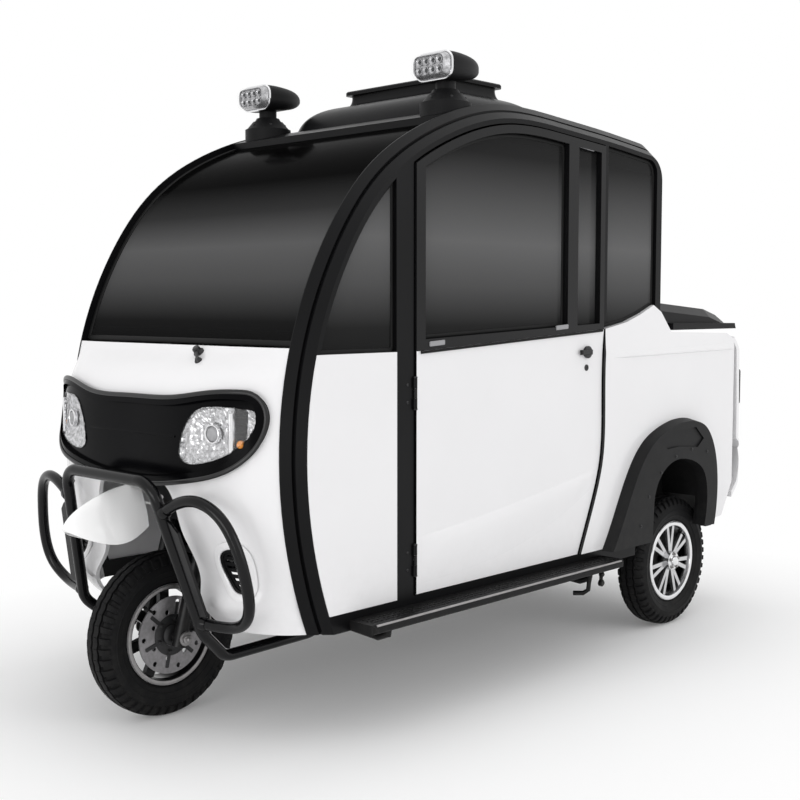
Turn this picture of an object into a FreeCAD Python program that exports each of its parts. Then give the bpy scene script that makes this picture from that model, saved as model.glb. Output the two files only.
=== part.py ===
import FreeCAD, Part
import math
import os

# Enclosed electric passenger tricycle with a short covered bed.
# Sizes are in mm.  X runs to the vehicle's left, Z up, and Y to the rear.
# Y is measured from the front axle here; save() moves each piece so that the
# origin is on the ground in the middle of the vehicle's length.

V = FreeCAD.Vector

# Overall sizes
WHEELBASE = 1820.0
CABIN_HALF_WIDTH = 480.0
NOSE_TIP_Y = -304.0
REAR_WALL_AHEAD = 120.0
REAR_OVERHANG = 406.0
BUMPER_BULGE = 70.0
SEAT_GAP = 0.3

# Wheels and tyres
TYRE_RADIUS = 229.0
RIM_RADIUS = 141.0
RIM_DEPTH = 8.0
RIM_WALL = 9.0
LIP_WIDTH = 5.0
BEAD_SHARE = 0.66
FRONT_TYRE_WIDTH = 94.0
REAR_TYRE_WIDTH = 104.0
TYRE_INSET = 22.0
SPOKES = 7
HUB_RADIUS = 34.0
HUB_PROUD = 10.0
FRONT_AXLE_RADIUS = 8.0
REAR_STUB_RADIUS = 14.0
DISC_RADIUS = 108.0
DISC_BORE = 30.0
DISC_THICKNESS = 4.0

# Side frames of the cabin
FRAME_DEPTH = 52.0
HOOP_LAND = 3.0
HOOP_BEVEL = 46.0
REAR_BEVEL = 8.0
HOOP_WIDTH = 48.0
WINDOW_FRAME = 12.0
GROOVE_INSET = 20.0
GROOVE_WIDTH = 7.0
GROOVE_DEPTH = 4.0
REAR_LEG_WIDTH = 40.0
REAR_CORNER = 75.0
SILL_DROP = 10.0
SILL_HEIGHT = 50.0
POST_FRONT_Y = 388.0
POST_WIDTH = 67.0
STRIP_WIDTH = 18.0
# Through points (y, z) of the hoop's outer edge, up to the top of the roof
HOOP_POINTS = [(150, 190), (66, 408), (18, 708), (60, 1052), (174, 1311), (322, 1497),
               (555, 1642), (835, 1724)]
# Through points of the roof's edge, with y from the rear wall
ROOF_POINTS = [(-524, 1721), (-306, 1706)]
ROOF_END_Z = 1684.0

# Doors
DOOR_THICKNESS = 38.0
DOOR_PROUD = 6.0
DOOR_GAP = 5.0
DOOR_RAIL = 24.0
DOOR_REAR_AHEAD = 353.0
# Rear seam of the door from the sill up, with y from the door's top rear corner
SEAM_POINTS = [(-134, 345), (-60, 512), (-18, 640), (-9, 800), (-8, 988), (0, 1062)]
BELT_Z = 1014.0
WINDOW_SILL_Z = 1046.0
WINDOW_SILL_RISE = 34.0
MULLION_WIDTH = 52.0
NARROW_PANE = 122.0
HINGE_RADIUS = 5.0
HINGE_HEIGHT = 84.0
HINGE_HEIGHTS = (440.0, 900.0)
PIN_CLEARANCE = 0.7
GLASS_THICKNESS = 5.0
GLASS_INSET = 14.0
HANDLE_AHEAD = 96.0
HANDLE_Z = 990.0

# Rear body, bed and lid
BODY_PROUD = 18.0
BODY_THICKNESS = 45.0
BODY_RISE = 62.0
CREASE_Z = 984.0
SHOULDER_LEAN = 0.12
BED_FLOOR_Z = 620.0
BED_RIM_Z = 1036.0
BED_WALL = 14.0
LID_FRONT_GAP = 18.0
LID_TOP_Z = 1148.0
LID_WALL = 14.0
FLARE_DEPTH = 40.0
FLARE_DRAFT = 9.0
LINER_WALL = 4.0
LINER_GAP = 12.0
WHEEL_CLEARANCE = 28.0
LID_HINGE_X = 300.0
LID_HINGE_RADIUS = 7.0
LID_HINGE_Z = 1158.0
TAIL_SHELL = 22.0
TAIL_CORNER = 90.0

# Frame and floor
RAIL_X = 250.0
RAIL_WIDTH = 40.0
RAIL_HEIGHT = 50.0
FRAME_FRONT_Y = 430.0
SPRING_SPACE = 45.0
FLOOR_THICKNESS = 12.0
SHELF_Z = 750.0
CROSS_WIDTH = 40.0
PAD_RADIUS = 19.0
PAD_HEIGHT = 6.0
PAD_Y = 620.0
STEP_WIDTH = 88.0
STEP_THICKNESS = 26.0

# Rear axle and springs
AXLE_RADIUS = 26.0
SPRING_WIDTH = 46.0
LEAF_THICKNESS = 7.0
LEAF_HALF_LENGTHS = (160.0, 245.0, 330.0)
LEAF_RISE = 14.0
EYE_RADIUS = 10.0

# Steering
RAKE = 16.0
FORK_OFFSET = 25.0
FORK_LEG_X = 80.0
SLIDER_RADIUS = 19.0
SLIDER_LENGTH = 205.0
TUBE_RADIUS = 15.0
YOKE_OVER_TYRE = 101.0
YOKE_HEIGHT = 26.0
STEM_RADIUS = 14.0
STEM_LENGTH = 790.0
HEAD_TUBE_RADIUS = 25.0
HEAD_TUBE_GAP = 22.0
HEAD_TUBE_LENGTH = 170.0
GRIP_RADIUS = 11.0

# Front guard bar
BAR_RADIUS = 16.0

# Roof
ROOF_HEADER_Y = 684.0
ROOF_THICKNESS = 14.0
HEADER_DEPTH = 36.0
SCREEN_INSET = 22.0
SCREEN_FOOT_Z = 1034.0
WALL_TOP_Z = 1600.0
ROOF_LAMP_INSET = 82.0
ROOF_LAMP_Y = 732.0
ROOF_LAMP_Z = 1822.0

# Nose
NOSE_THICKNESS = 12.0
HEADLAMP_DEPTH = 30.0
NOSE_SET_BACK = 2.0
# Height and centre y of the nose's plan sections
NOSE_SECTIONS = [(290, -6), (420, -42), (560, -72), (713, -90), (850, -86), (925, -66),
                 (985, -12), (1031, 40)]

# Places that follow from the sizes above
REAR_AXLE_Y = WHEELBASE
CABIN_REAR_Y = REAR_AXLE_Y - REAR_WALL_AHEAD
DOOR_REAR_Y = CABIN_REAR_Y - DOOR_REAR_AHEAD
TAIL_Y = REAR_AXLE_Y + REAR_OVERHANG
LENGTH_MIDDLE_Y = (NOSE_TIP_Y + TAIL_Y + BUMPER_BULGE) / 2.0
RAIL_BOTTOM_Z = TYRE_RADIUS + AXLE_RADIUS + SPRING_SPACE
FLOOR_Z = RAIL_BOTTOM_Z + RAIL_HEIGHT + SEAT_GAP
SILL_BOTTOM_Z = RAIL_BOTTOM_Z - SILL_DROP
SILL_TOP_Z = SILL_BOTTOM_Z + SILL_HEIGHT
BODY_BOTTOM_Z = SILL_BOTTOM_Z + BODY_RISE
FRAME_INNER_X = CABIN_HALF_WIDTH
FRAME_OUTER_X = CABIN_HALF_WIDTH + FRAME_DEPTH
FRAME_GAP_X = FRAME_INNER_X - SEAT_GAP
DOOR_OUTER_X = FRAME_OUTER_X + DOOR_PROUD
DOOR_INNER_X = DOOR_OUTER_X - DOOR_THICKNESS
GLASS_X = FRAME_OUTER_X - GLASS_INSET
BODY_OUTER_X = FRAME_OUTER_X + BODY_PROUD
BODY_INNER_X = BODY_OUTER_X - BODY_THICKNESS
FLARE_OUTER_X = BODY_OUTER_X + FLARE_DEPTH
REAR_WHEEL_X = BODY_OUTER_X - TYRE_INSET - REAR_TYRE_WIDTH / 2.0
WHEEL_WELL_X = REAR_WHEEL_X - REAR_TYRE_WIDTH / 2.0 - WHEEL_CLEARANCE
DOOR_FRONT_Y = POST_FRONT_Y + POST_WIDTH + DOOR_GAP
HINGE_X = DOOR_OUTER_X - 2.0
HINGE_Y = DOOR_FRONT_Y - DOOR_GAP / 2.0
MULLION_Y = DOOR_REAR_Y - DOOR_RAIL - NARROW_PANE - MULLION_WIDTH
STRIP_Y = DOOR_REAR_Y + DOOR_GAP
LID_HINGE_Y = CABIN_REAR_Y + 10.0
FORK_LENGTH = TYRE_RADIUS + YOKE_OVER_TYRE
HEAD_TUBE_START = FORK_LENGTH + HEAD_TUBE_GAP
ROOF_LAMP_X = CABIN_HALF_WIDTH - ROOF_LAMP_INSET
FRONT_HALF_BEAD = FRONT_TYRE_WIDTH / 2.0 * BEAD_SHARE
HUB_END_X = FRONT_HALF_BEAD + SEAT_GAP + HUB_PROUD


# Helpers

def save(name, shapes):
    """Write one node, moved to the vehicle's own origin."""
    piece = Part.makeCompound(shapes) if len(shapes) > 1 else shapes[0]
    piece = piece.copy()
    piece.translate(V(0, -LENGTH_MIDDLE_Y, 0))
    piece.exportStep("parts/" + name + ".step")


def mirrored(shape):
    """The same piece on the other side of the vehicle."""
    return shape.mirror(V(0, 0, 0), V(1, 0, 0))


def both(shape):
    return [shape, mirrored(shape)]


def box(x0, x1, y0, y1, z0, z1):
    return Part.makeBox(x1 - x0, y1 - y0, z1 - z0, V(x0, y0, z0))


def side_polygon(points):
    """Closed polygon of (y, z) points as a face at x = 0."""
    corners = [V(0, y, z) for y, z in points]
    return Part.Face(Part.makePolygon(corners + corners[:1]))


def side_prism(points, x0, x1):
    """A (y, z) outline given depth from x0 to x1."""
    return slab(side_polygon(points), x0, x1)


def slab(face, x0, x1):
    """A face at x = 0 given depth from x0 to x1."""
    moved = face.copy()
    moved.translate(V(x0, 0, 0))
    return moved.extrude(V(x1 - x0, 0, 0))


def spline(points):
    """Smooth edge through the given points."""
    curve = Part.BSplineCurve()
    curve.interpolate([V(*p) for p in points])
    return curve.toShape()


def line(a, b):
    return Part.LineSegment(V(*a), V(*b)).toShape()


def along_x(radius, x0, x1, y, z):
    """Cylinder parallel to the axles."""
    return Part.makeCylinder(radius, x1 - x0, V(x0, y, z), V(1, 0, 0))


def bar(a, b, radius):
    """Straight round bar between two points."""
    start = V(*a)
    end = V(*b)
    return Part.makeCylinder(radius, (end - start).Length, start, end - start)


def tube(points, radius, corner=0.0):
    """Round bar along straight runs, with its corners bent to a radius."""
    corners = [V(*p) for p in points]
    edges = []
    start = corners[0]
    for before, here, after in zip(corners, corners[1:], corners[2:]):
        back = (before - here).normalize()
        ahead = (after - here).normalize()
        half_angle = back.getAngle(ahead) / 2.0
        reach = corner / math.tan(half_angle)
        arc_start = here + back * reach
        arc_end = here + ahead * reach
        bisector = (back + ahead).normalize()
        centre_distance = corner / math.sin(half_angle)
        arc_middle = here + bisector * (centre_distance - corner)
        edges.append(Part.LineSegment(start, arc_start).toShape())
        edges.append(Part.Arc(arc_start, arc_middle, arc_end).toShape())
        start = arc_end
    edges.append(Part.LineSegment(start, corners[-1]).toShape())
    path = Part.Wire(edges)
    heading = (corners[1] - corners[0]).normalize()
    ring = Part.Wire(Part.makeCircle(radius, corners[0], heading))
    return path.makePipeShell([ring], True, False)


def smooth_tube(points, radius):
    """Round bar bent along one smooth curve."""
    curve = spline(points)
    heading = curve.tangentAt(curve.FirstParameter)
    ring = Part.Wire(Part.makeCircle(radius, V(*points[0]), heading))
    return Part.Wire(curve).makePipeShell([ring], True, False)


def rounded_plate(x_half, y0, y1, z0, z1, radius):
    """Box with its upright edges rounded."""
    plate = box(-x_half, x_half, y0, y1, z0, z1)
    upright = [e for e in plate.Edges if e.BoundBox.ZLength > (z1 - z0) * 0.9]
    return plate.makeFillet(radius, upright)


def plan_wire(x_half, y0, y1, z, radius):
    """Rounded rectangle at a height."""
    plate = rounded_plate(x_half, y0, y1, z, z + 1, radius)
    face = min(plate.Faces, key=lambda f: f.CenterOfMass.z)
    return face.OuterWire


def inset_points(points, inset):
    """Corners of a closed outline, each moved inwards square to its neighbours."""
    count = len(points)
    middle_a = sum(p[0] for p in points) / count
    middle_b = sum(p[1] for p in points) / count
    moved = []
    for i, (a, b) in enumerate(points):
        before = points[i - 1]
        after = points[(i + 1) % count]
        run_a = after[0] - before[0]
        run_b = after[1] - before[1]
        length = math.hypot(run_a, run_b)
        normal_a, normal_b = -run_b / length, run_a / length
        if normal_a * (middle_a - a) + normal_b * (middle_b - b) < 0:
            normal_a, normal_b = -normal_a, -normal_b
        moved.append((a + normal_a * inset, b + normal_b * inset))
    return moved


# Cabin outline

def hoop_edge(inset):
    """The hoop's edge in the side view, moved inwards by inset."""
    points = HOOP_POINTS + [(CABIN_REAR_Y + y, z) for y, z in ROOF_POINTS]
    points.append((CABIN_REAR_Y - REAR_CORNER, ROOF_END_Z))
    base = Part.BSplineCurve()
    base.interpolate([V(0, y, z) for y, z in points])
    if inset == 0:
        return base.toShape()
    moved = []
    for y, z in points:
        here = V(0, y, z)
        along = base.tangent(base.parameter(here))[0]
        inward = V(0, along.z, -along.y)
        moved.append(here + inward * inset)
    curve = Part.BSplineCurve()
    curve.interpolate(moved)
    return curve.toShape()


def hoop_front_y(z):
    """Y of the hoop's front edge at a height below the roof."""
    edge = hoop_edge(0)
    low = edge.FirstParameter
    high = edge.LastParameter
    for _ in range(40):
        middle = (low + high) / 2.0
        if edge.valueAt(middle).z < z:
            low = middle
        else:
            high = middle
    return edge.valueAt(low).y


def cabin_face(inset, rear_inset=None, bottom_z=SILL_BOTTOM_Z):
    """Side view of the cabin as a face at x = 0, moved inwards by inset."""
    if rear_inset is None:
        rear_inset = inset
    top = hoop_edge(inset)
    foot = top.Vertexes[0].Point
    roof_end = top.Vertexes[-1].Point
    heading = top.tangentAt(top.LastParameter)
    fall = math.atan2(-heading.z, heading.y)
    rear_y = CABIN_REAR_Y - rear_inset
    radius = (rear_y - roof_end.y) / (1 - math.sin(fall))
    centre = roof_end + V(0, -math.sin(fall), -math.cos(fall)) * radius
    corner_end = centre + V(0, radius, 0)
    half = (math.pi / 2 - fall) / 2
    middle = centre + V(0, math.cos(half), math.sin(half)) * radius
    low_z = min(foot.z, bottom_z) - 20
    foot_corner = V(0, foot.y, low_z)
    rear_foot = V(0, rear_y, low_z)
    edges = [top, Part.Arc(roof_end, middle, corner_end).toShape(),
             Part.LineSegment(corner_end, rear_foot).toShape(),
             Part.LineSegment(rear_foot, foot_corner).toShape(),
             Part.LineSegment(foot_corner, foot).toShape()]
    whole = Part.Face(Part.Wire(edges))
    far = CABIN_REAR_Y + 1000
    above = side_polygon([(-500, bottom_z), (far, bottom_z), (far, 2500), (-500, 2500)])
    return whole.common(above).Faces[0]


def door_seam(gap):
    """Rear seam of the door from sill to belt as points, moved to the rear by gap."""
    return [(DOOR_REAR_Y + y + gap, z) for y, z in SEAM_POINTS]


def door_region(bottom_z):
    """Face between the centre post and the rear seam, as high as the roof."""
    seam = door_seam(0)
    curve = spline([(0, y, z) for y, z in seam])
    low = seam[0]
    high = seam[-1]
    top_z = 1800
    start = (0, DOOR_FRONT_Y, bottom_z)
    below_seam = (0, low[0], bottom_z)
    edges = [line(start, below_seam)]
    if abs(low[1] - bottom_z) > 0.01:
        edges.append(line(below_seam, (0, low[0], low[1])))
    edges += [curve, line((0, high[0], high[1]), (0, high[0], top_z)),
              line((0, high[0], top_z), (0, DOOR_FRONT_Y, top_z)),
              line((0, DOOR_FRONT_Y, top_z), start)]
    return Part.Face(Part.Wire(edges))


# Side frames

def hoop_blank():
    """The side frame without openings: its outer side is bevelled to the front and the roof."""
    bevel_start = FRAME_INNER_X + HOOP_LAND
    whole = cabin_face(0)
    land = slab(whole, FRAME_INNER_X, bevel_start)
    wide = whole.OuterWire.copy()
    wide.translate(V(bevel_start, 0, 0))
    narrow = cabin_face(HOOP_BEVEL, REAR_BEVEL).OuterWire.copy()
    narrow.translate(V(FRAME_OUTER_X, 0, 0))
    return land.fuse(Part.makeLoft([wide, narrow], True, True))


def hoop_groove():
    """Channel along the middle of the bevel."""
    slope = (FRAME_DEPTH - HOOP_LAND) / HOOP_BEVEL
    floor_x = FRAME_INNER_X + HOOP_LAND + slope * GROOVE_INSET - GROOVE_DEPTH
    beyond = -30
    ring = cabin_face(GROOVE_INSET, beyond).cut(cabin_face(GROOVE_INSET + GROOVE_WIDTH, beyond))
    return slab(ring, floor_x, FRAME_OUTER_X + 1)


def side_frame():
    """Left hoop with sill, rear leg, centre post and rear strip."""
    blank = hoop_blank()
    x0, x1 = FRAME_INNER_X - 1, FRAME_OUTER_X + 1
    window_side = slab(cabin_face(HOOP_WIDTH + WINDOW_FRAME, REAR_LEG_WIDTH, SILL_TOP_Z), x0, x1)
    panel_side = slab(cabin_face(HOOP_WIDTH, REAR_LEG_WIDTH, SILL_TOP_Z), x0, x1)
    panel_side = panel_side.common(box(x0, x1, -500, POST_FRONT_Y + 1, 0, BELT_Z + SEAT_GAP))
    post = box(FRAME_INNER_X, FRAME_OUTER_X, POST_FRONT_Y, POST_FRONT_Y + POST_WIDTH,
               SILL_BOTTOM_Z + 10, 1700)
    strip = box(FRAME_INNER_X, FRAME_OUTER_X, STRIP_Y, STRIP_Y + STRIP_WIDTH, SEAM_POINTS[-1][1] + 28,
                1700)
    uprights = post.fuse(strip).common(blank)
    frame = blank.cut(window_side).cut(panel_side).fuse(uprights).cut(hoop_groove())
    wheel_space = box(x0, x1, REAR_AXLE_Y - TYRE_RADIUS - WHEEL_CLEARANCE - 5, CABIN_REAR_Y + 1,
                      SILL_BOTTOM_Z - 1, BED_FLOOR_Z)
    body_seat = slab(rear_body_face(SEAT_GAP), BODY_INNER_X - SEAT_GAP, BODY_OUTER_X)
    frame = frame.cut(wheel_space).cut(body_seat)
    for knuckle in post_knuckles():
        frame = frame.fuse(knuckle)
    pins = hinge_pins(HINGE_RADIUS + PIN_CLEARANCE, door_knuckle_spans(PIN_CLEARANCE))
    return frame.cut(pins).removeSplitter()


def front_side_panel():
    """White panel between the hoop and the centre post, below the belt."""
    region = cabin_face(HOOP_WIDTH + SEAT_GAP, None, SILL_TOP_Z + SEAT_GAP)
    panel = slab(region, FRAME_INNER_X + 8, FRAME_OUTER_X + 2)
    keep = box(400, 600, -200, POST_FRONT_Y - SEAT_GAP, 300, BELT_Z)
    return panel.common(keep)


def front_quarter_glass():
    region = cabin_face(HOOP_WIDTH + WINDOW_FRAME + SEAT_GAP)
    glass = slab(region, GLASS_X - GLASS_THICKNESS, GLASS_X)
    keep = box(0, FRAME_OUTER_X, -200, POST_FRONT_Y - SEAT_GAP, BELT_Z + 2 * SEAT_GAP, 1700)
    return glass.common(keep)


def rear_quarter_glass():
    region = cabin_face(HOOP_WIDTH + WINDOW_FRAME + SEAT_GAP, REAR_LEG_WIDTH + SEAT_GAP)
    glass = slab(region, GLASS_X - GLASS_THICKNESS, GLASS_X)
    strip_end = STRIP_Y + STRIP_WIDTH + SEAT_GAP
    end = CABIN_REAR_Y + 1
    below = [(strip_end - 60, 900)] + body_top_line(SEAT_GAP) + [(end, 1114), (end, 900)]
    keep = box(0, FRAME_OUTER_X, strip_end, CABIN_REAR_Y, 1000, 1700)
    return glass.common(keep).cut(side_prism(below, 0, FRAME_OUTER_X))


# Doors

def hinge_pins(radius, spans):
    """Round bars on the door's hinge axis, one for each height span."""
    bars = [Part.makeCylinder(radius, high - low, V(HINGE_X, HINGE_Y, low)) for low, high in spans]
    return bars[0].fuse(bars[1:])


def door_knuckle_spans(grow=0.0):
    sixth = HINGE_HEIGHT / 6
    return [(z - sixth - grow, z + sixth + grow) for z in HINGE_HEIGHTS]


def post_knuckle_spans(grow=0.0):
    half = HINGE_HEIGHT / 2
    sixth = HINGE_HEIGHT / 6 + SEAT_GAP
    spans = []
    for z in HINGE_HEIGHTS:
        spans.append((z - half - grow, z - sixth + grow))
        spans.append((z + sixth - grow, z + half + grow))
    return spans


def post_knuckles():
    """Hinge knuckles of the centre post, with the lugs that carry them."""
    parts = []
    for low, high in post_knuckle_spans():
        parts.append(Part.makeCylinder(HINGE_RADIUS, high - low, V(HINGE_X, HINGE_Y, low)))
        parts.append(box(FRAME_OUTER_X - 12, HINGE_X + 2, HINGE_Y - 8, HINGE_Y, low, high))
    return parts


def door_face():
    region = door_region(SILL_TOP_Z + DOOR_GAP)
    return region.common(cabin_face(HOOP_WIDTH + WINDOW_FRAME + DOOR_GAP)).Faces[0]


def door_windows(inset=0.0):
    """Openings for the wide and the narrow pane, as faces, made smaller by inset."""
    arch = cabin_face(HOOP_WIDTH + WINDOW_FRAME + DOOR_GAP + DOOR_RAIL + inset)
    front_y = DOOR_FRONT_Y + DOOR_RAIL + 12 + inset
    rear_y = DOOR_REAR_Y - DOOR_RAIL - inset
    slope = WINDOW_SILL_RISE / (DOOR_REAR_Y - DOOR_RAIL - DOOR_FRONT_Y - DOOR_RAIL - 12)
    top_z = 1750
    faces = []
    for y0, y1 in ((front_y, MULLION_Y - inset), (MULLION_Y + MULLION_WIDTH + inset, rear_y)):
        low_0 = WINDOW_SILL_Z + inset + slope * (y0 - front_y)
        low_1 = WINDOW_SILL_Z + inset + slope * (y1 - front_y)
        pane = side_polygon([(y0, low_0), (y1, low_1), (y1, top_z), (y0, top_z)])
        faces.append(arch.common(pane).Faces[0])
    return faces


def door_handle():
    """Oval plate with a lever, beside the rear seam."""
    y = DOOR_REAR_Y - HANDLE_AHEAD
    plate = along_x(19, DOOR_OUTER_X - 2, DOOR_OUTER_X + 9, y, HANDLE_Z)
    plate = plate.makeFillet(3, [e for e in plate.Edges if e.BoundBox.XMin > DOOR_OUTER_X + 5])
    lever = box(DOOR_OUTER_X + 7, DOOR_OUTER_X + 17, y - 44, y + 14, HANDLE_Z - 8, HANDLE_Z + 8)
    lever = lever.makeFillet(4, [e for e in lever.Edges if e.BoundBox.XMin > DOOR_OUTER_X + 12])
    return plate.fuse(lever)


def door_panel():
    """Left door with its window openings, handle and hinge knuckles."""
    door = slab(door_face(), DOOR_INNER_X, DOOR_OUTER_X)
    for opening in door_windows():
        door = door.cut(slab(opening, DOOR_INNER_X - 1, DOOR_OUTER_X + 1))
    door = door.fuse(door_handle())
    for low, high in door_knuckle_spans():
        lug = box(HINGE_X - 14, HINGE_X + 1, HINGE_Y, HINGE_Y + 8, low, high)
        knuckle = Part.makeCylinder(HINGE_RADIUS, high - low, V(HINGE_X, HINGE_Y, low))
        door = door.fuse([knuckle, lug])
    door = door.cut(hinge_pins(HINGE_RADIUS + PIN_CLEARANCE, post_knuckle_spans(PIN_CLEARANCE)))
    for low, high in post_knuckle_spans(PIN_CLEARANCE):
        door = door.cut(box(HINGE_X - 16, HINGE_X + 4, HINGE_Y - 6, HINGE_Y + 1, low, high))
    return door.removeSplitter()


def door_glass():
    return [slab(pane, GLASS_X - GLASS_THICKNESS, GLASS_X) for pane in door_windows(SEAT_GAP)]


# Rear body

def shoulder_cut():
    """What the left side of the rear body leans away from, above its crease."""
    rise = 200
    x, z = BODY_OUTER_X, CREASE_Z
    corners = [V(x, 0, z), V(x - rise * SHOULDER_LEAN, 0, z + rise), V(x + 50, 0, z + rise),
               V(x + 50, 0, z)]
    face = Part.Face(Part.makePolygon(corners + corners[:1]))
    return face.extrude(V(0, TAIL_Y + 100, 0))


def body_top_line(lift):
    """Top edge of the rear body from the door seam to the lid, raised by lift."""
    points = [(STRIP_Y, 1066), (CABIN_REAR_Y - 221, 1083), (CABIN_REAR_Y - 131, 1109),
              (CABIN_REAR_Y - 49, 1139)]
    return [(y, z + lift) for y, z in points]


def arch_face(grow):
    """Wheel opening of the rear body as a face, made larger by grow."""
    y = REAR_AXLE_Y
    top_z = 2 * TYRE_RADIUS + 138
    points = [(y - 250 - grow, 250), (y - 238 - grow, 470), (y - 196 - grow * 0.7, 560 + grow * 0.7),
              (y - 140, top_z + grow), (y + 10, top_z - 2 + grow), (y + 84 + grow * 0.7, 552 + grow * 0.7),
              (y + 112 + grow, 450), (y + 90 + grow, 340), (y + 90 + grow, 250)]
    curve = spline([(0, a, b) for a, b in points[1:8]])
    edges = [line((0,) + points[0], (0,) + points[1]), curve,
             line((0,) + points[7], (0,) + points[8]), line((0,) + points[8], (0,) + points[0])]
    return Part.Face(Part.Wire(edges))


def rear_body_face(grow=0.0):
    """Side view of the rear body from the door seam to the tail, made larger by grow."""
    seam = door_seam(DOOR_GAP - grow)
    low_z = BODY_BOTTOM_Z - 7
    tail = TAIL_Y - 48
    seam[0] = (seam[0][0], low_z)
    outline = body_top_line(grow)[1:]
    outline += [(CABIN_REAR_Y - 4, 1115 + grow), (CABIN_REAR_Y + 50, BED_RIM_Z + 10)]
    outline += [(TAIL_Y - 94, BED_RIM_Z),
                (tail, BED_RIM_Z - 20), (tail, 480), (TAIL_Y - 120, BODY_BOTTOM_Z + 9),
                (REAR_AXLE_Y + 150, BODY_BOTTOM_Z), (REAR_AXLE_Y - 300, low_z), seam[0]]
    edges = [spline([(0, y, z) for y, z in seam])]
    last = seam[-1]
    for point in outline:
        edges.append(line((0,) + tuple(last), (0,) + tuple(point)))
        last = point
    return Part.Face(Part.Wire(edges))


def wheel_well(shrink=0.0):
    """Space round the left rear wheel, inside the body side, made smaller by shrink."""
    arch = slab(arch_face(LINER_GAP - shrink), WHEEL_WELL_X + shrink, BODY_OUTER_X + 3)
    barrel = along_x(TYRE_RADIUS + WHEEL_CLEARANCE - shrink, WHEEL_WELL_X + shrink, BODY_OUTER_X - 14,
                     REAR_AXLE_Y, TYRE_RADIUS)
    return arch.fuse(barrel)


def rear_body():
    """Left side of the rear body, with its wheel opening."""
    panel = slab(rear_body_face(), BODY_INNER_X, BODY_OUTER_X)
    return panel.cut(wheel_well()).cut(shoulder_cut())


def flare_wire(draft, x):
    """Outline of the wheel arch cladding at a station, drawn in towards the wheel by draft."""
    y = REAR_AXLE_Y
    low_z = SILL_TOP_Z
    points = [(y - 488, low_z), (y - 394, 499), (y - 248, 682), (y - 150, 724), (y + 8, 743),
              (y + 100, 716), (y + 160, 640), (y + 186, 540), (y + 186, 430), (y + 172, 353)]
    drawn = []
    for a, b in points:
        reach = math.hypot(a - y, b - TYRE_RADIUS)
        share = 1 - draft / reach
        drawn.append((y + (a - y) * share, max(TYRE_RADIUS + (b - TYRE_RADIUS) * share, low_z)))
    corners = [drawn[-1], (y + 95, 353), (y + 90, low_z), drawn[0]]
    edges = [spline([(x, a, b) for a, b in drawn])]
    for a, b in zip(corners, corners[1:]):
        edges.append(line((x,) + tuple(a), (x,) + tuple(b)))
    return Part.Wire(edges)


def wheel_flare():
    """Black cladding round the left rear wheel opening, with a sunk field at its top."""
    inner_x = BODY_OUTER_X + SEAT_GAP
    flare = Part.makeLoft([flare_wire(0, inner_x), flare_wire(FLARE_DRAFT, FLARE_OUTER_X)], True, True)
    y = REAR_AXLE_Y
    field = [(y - 205, 683), (y - 100, 705), (y + 26, 712), (y + 80, 668), (y + 40, 640),
             (y - 90, 652), (y - 160, 648)]
    flare = flare.cut(side_prism(field, FLARE_OUTER_X - 6, FLARE_OUTER_X + 1))
    flare = flare.cut(slab(arch_face(0), BODY_OUTER_X - 1, FLARE_OUTER_X + 1))
    return flare.fuse(wheel_liner()).removeSplitter()


def wheel_liner():
    """Closed inner arch between the flare and the frame, open for the axle."""
    liner = wheel_well(SEAT_GAP).cut(wheel_well(SEAT_GAP + LINER_WALL))
    liner = liner.cut(slab(arch_face(LINER_GAP - SEAT_GAP - LINER_WALL), BODY_OUTER_X - 60, FLARE_OUTER_X))
    liner = liner.common(box(0, 700, 0, TAIL_Y, BODY_BOTTOM_Z, 700))
    axle_slot = box(WHEEL_WELL_X - 1, WHEEL_WELL_X + LINER_WALL + 2, REAR_AXLE_Y - 70, REAR_AXLE_Y + 70,
                    0, 400)
    return liner.cut(axle_slot)


def bed_tub():
    """Open tub of the bed, over the rear wheels."""
    front_y = CABIN_REAR_Y + 2
    rear_y = TAIL_Y - 50
    wide = BODY_INNER_X - SEAT_GAP
    wall = BED_WALL
    shell = box(-wide, wide, front_y, rear_y, BED_FLOOR_Z, BED_RIM_Z - 6)
    hollow = box(-wide + wall, wide - wall, front_y + wall, rear_y - wall, BED_FLOOR_Z + wall, BED_RIM_Z)
    return shell.cut(hollow)


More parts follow.
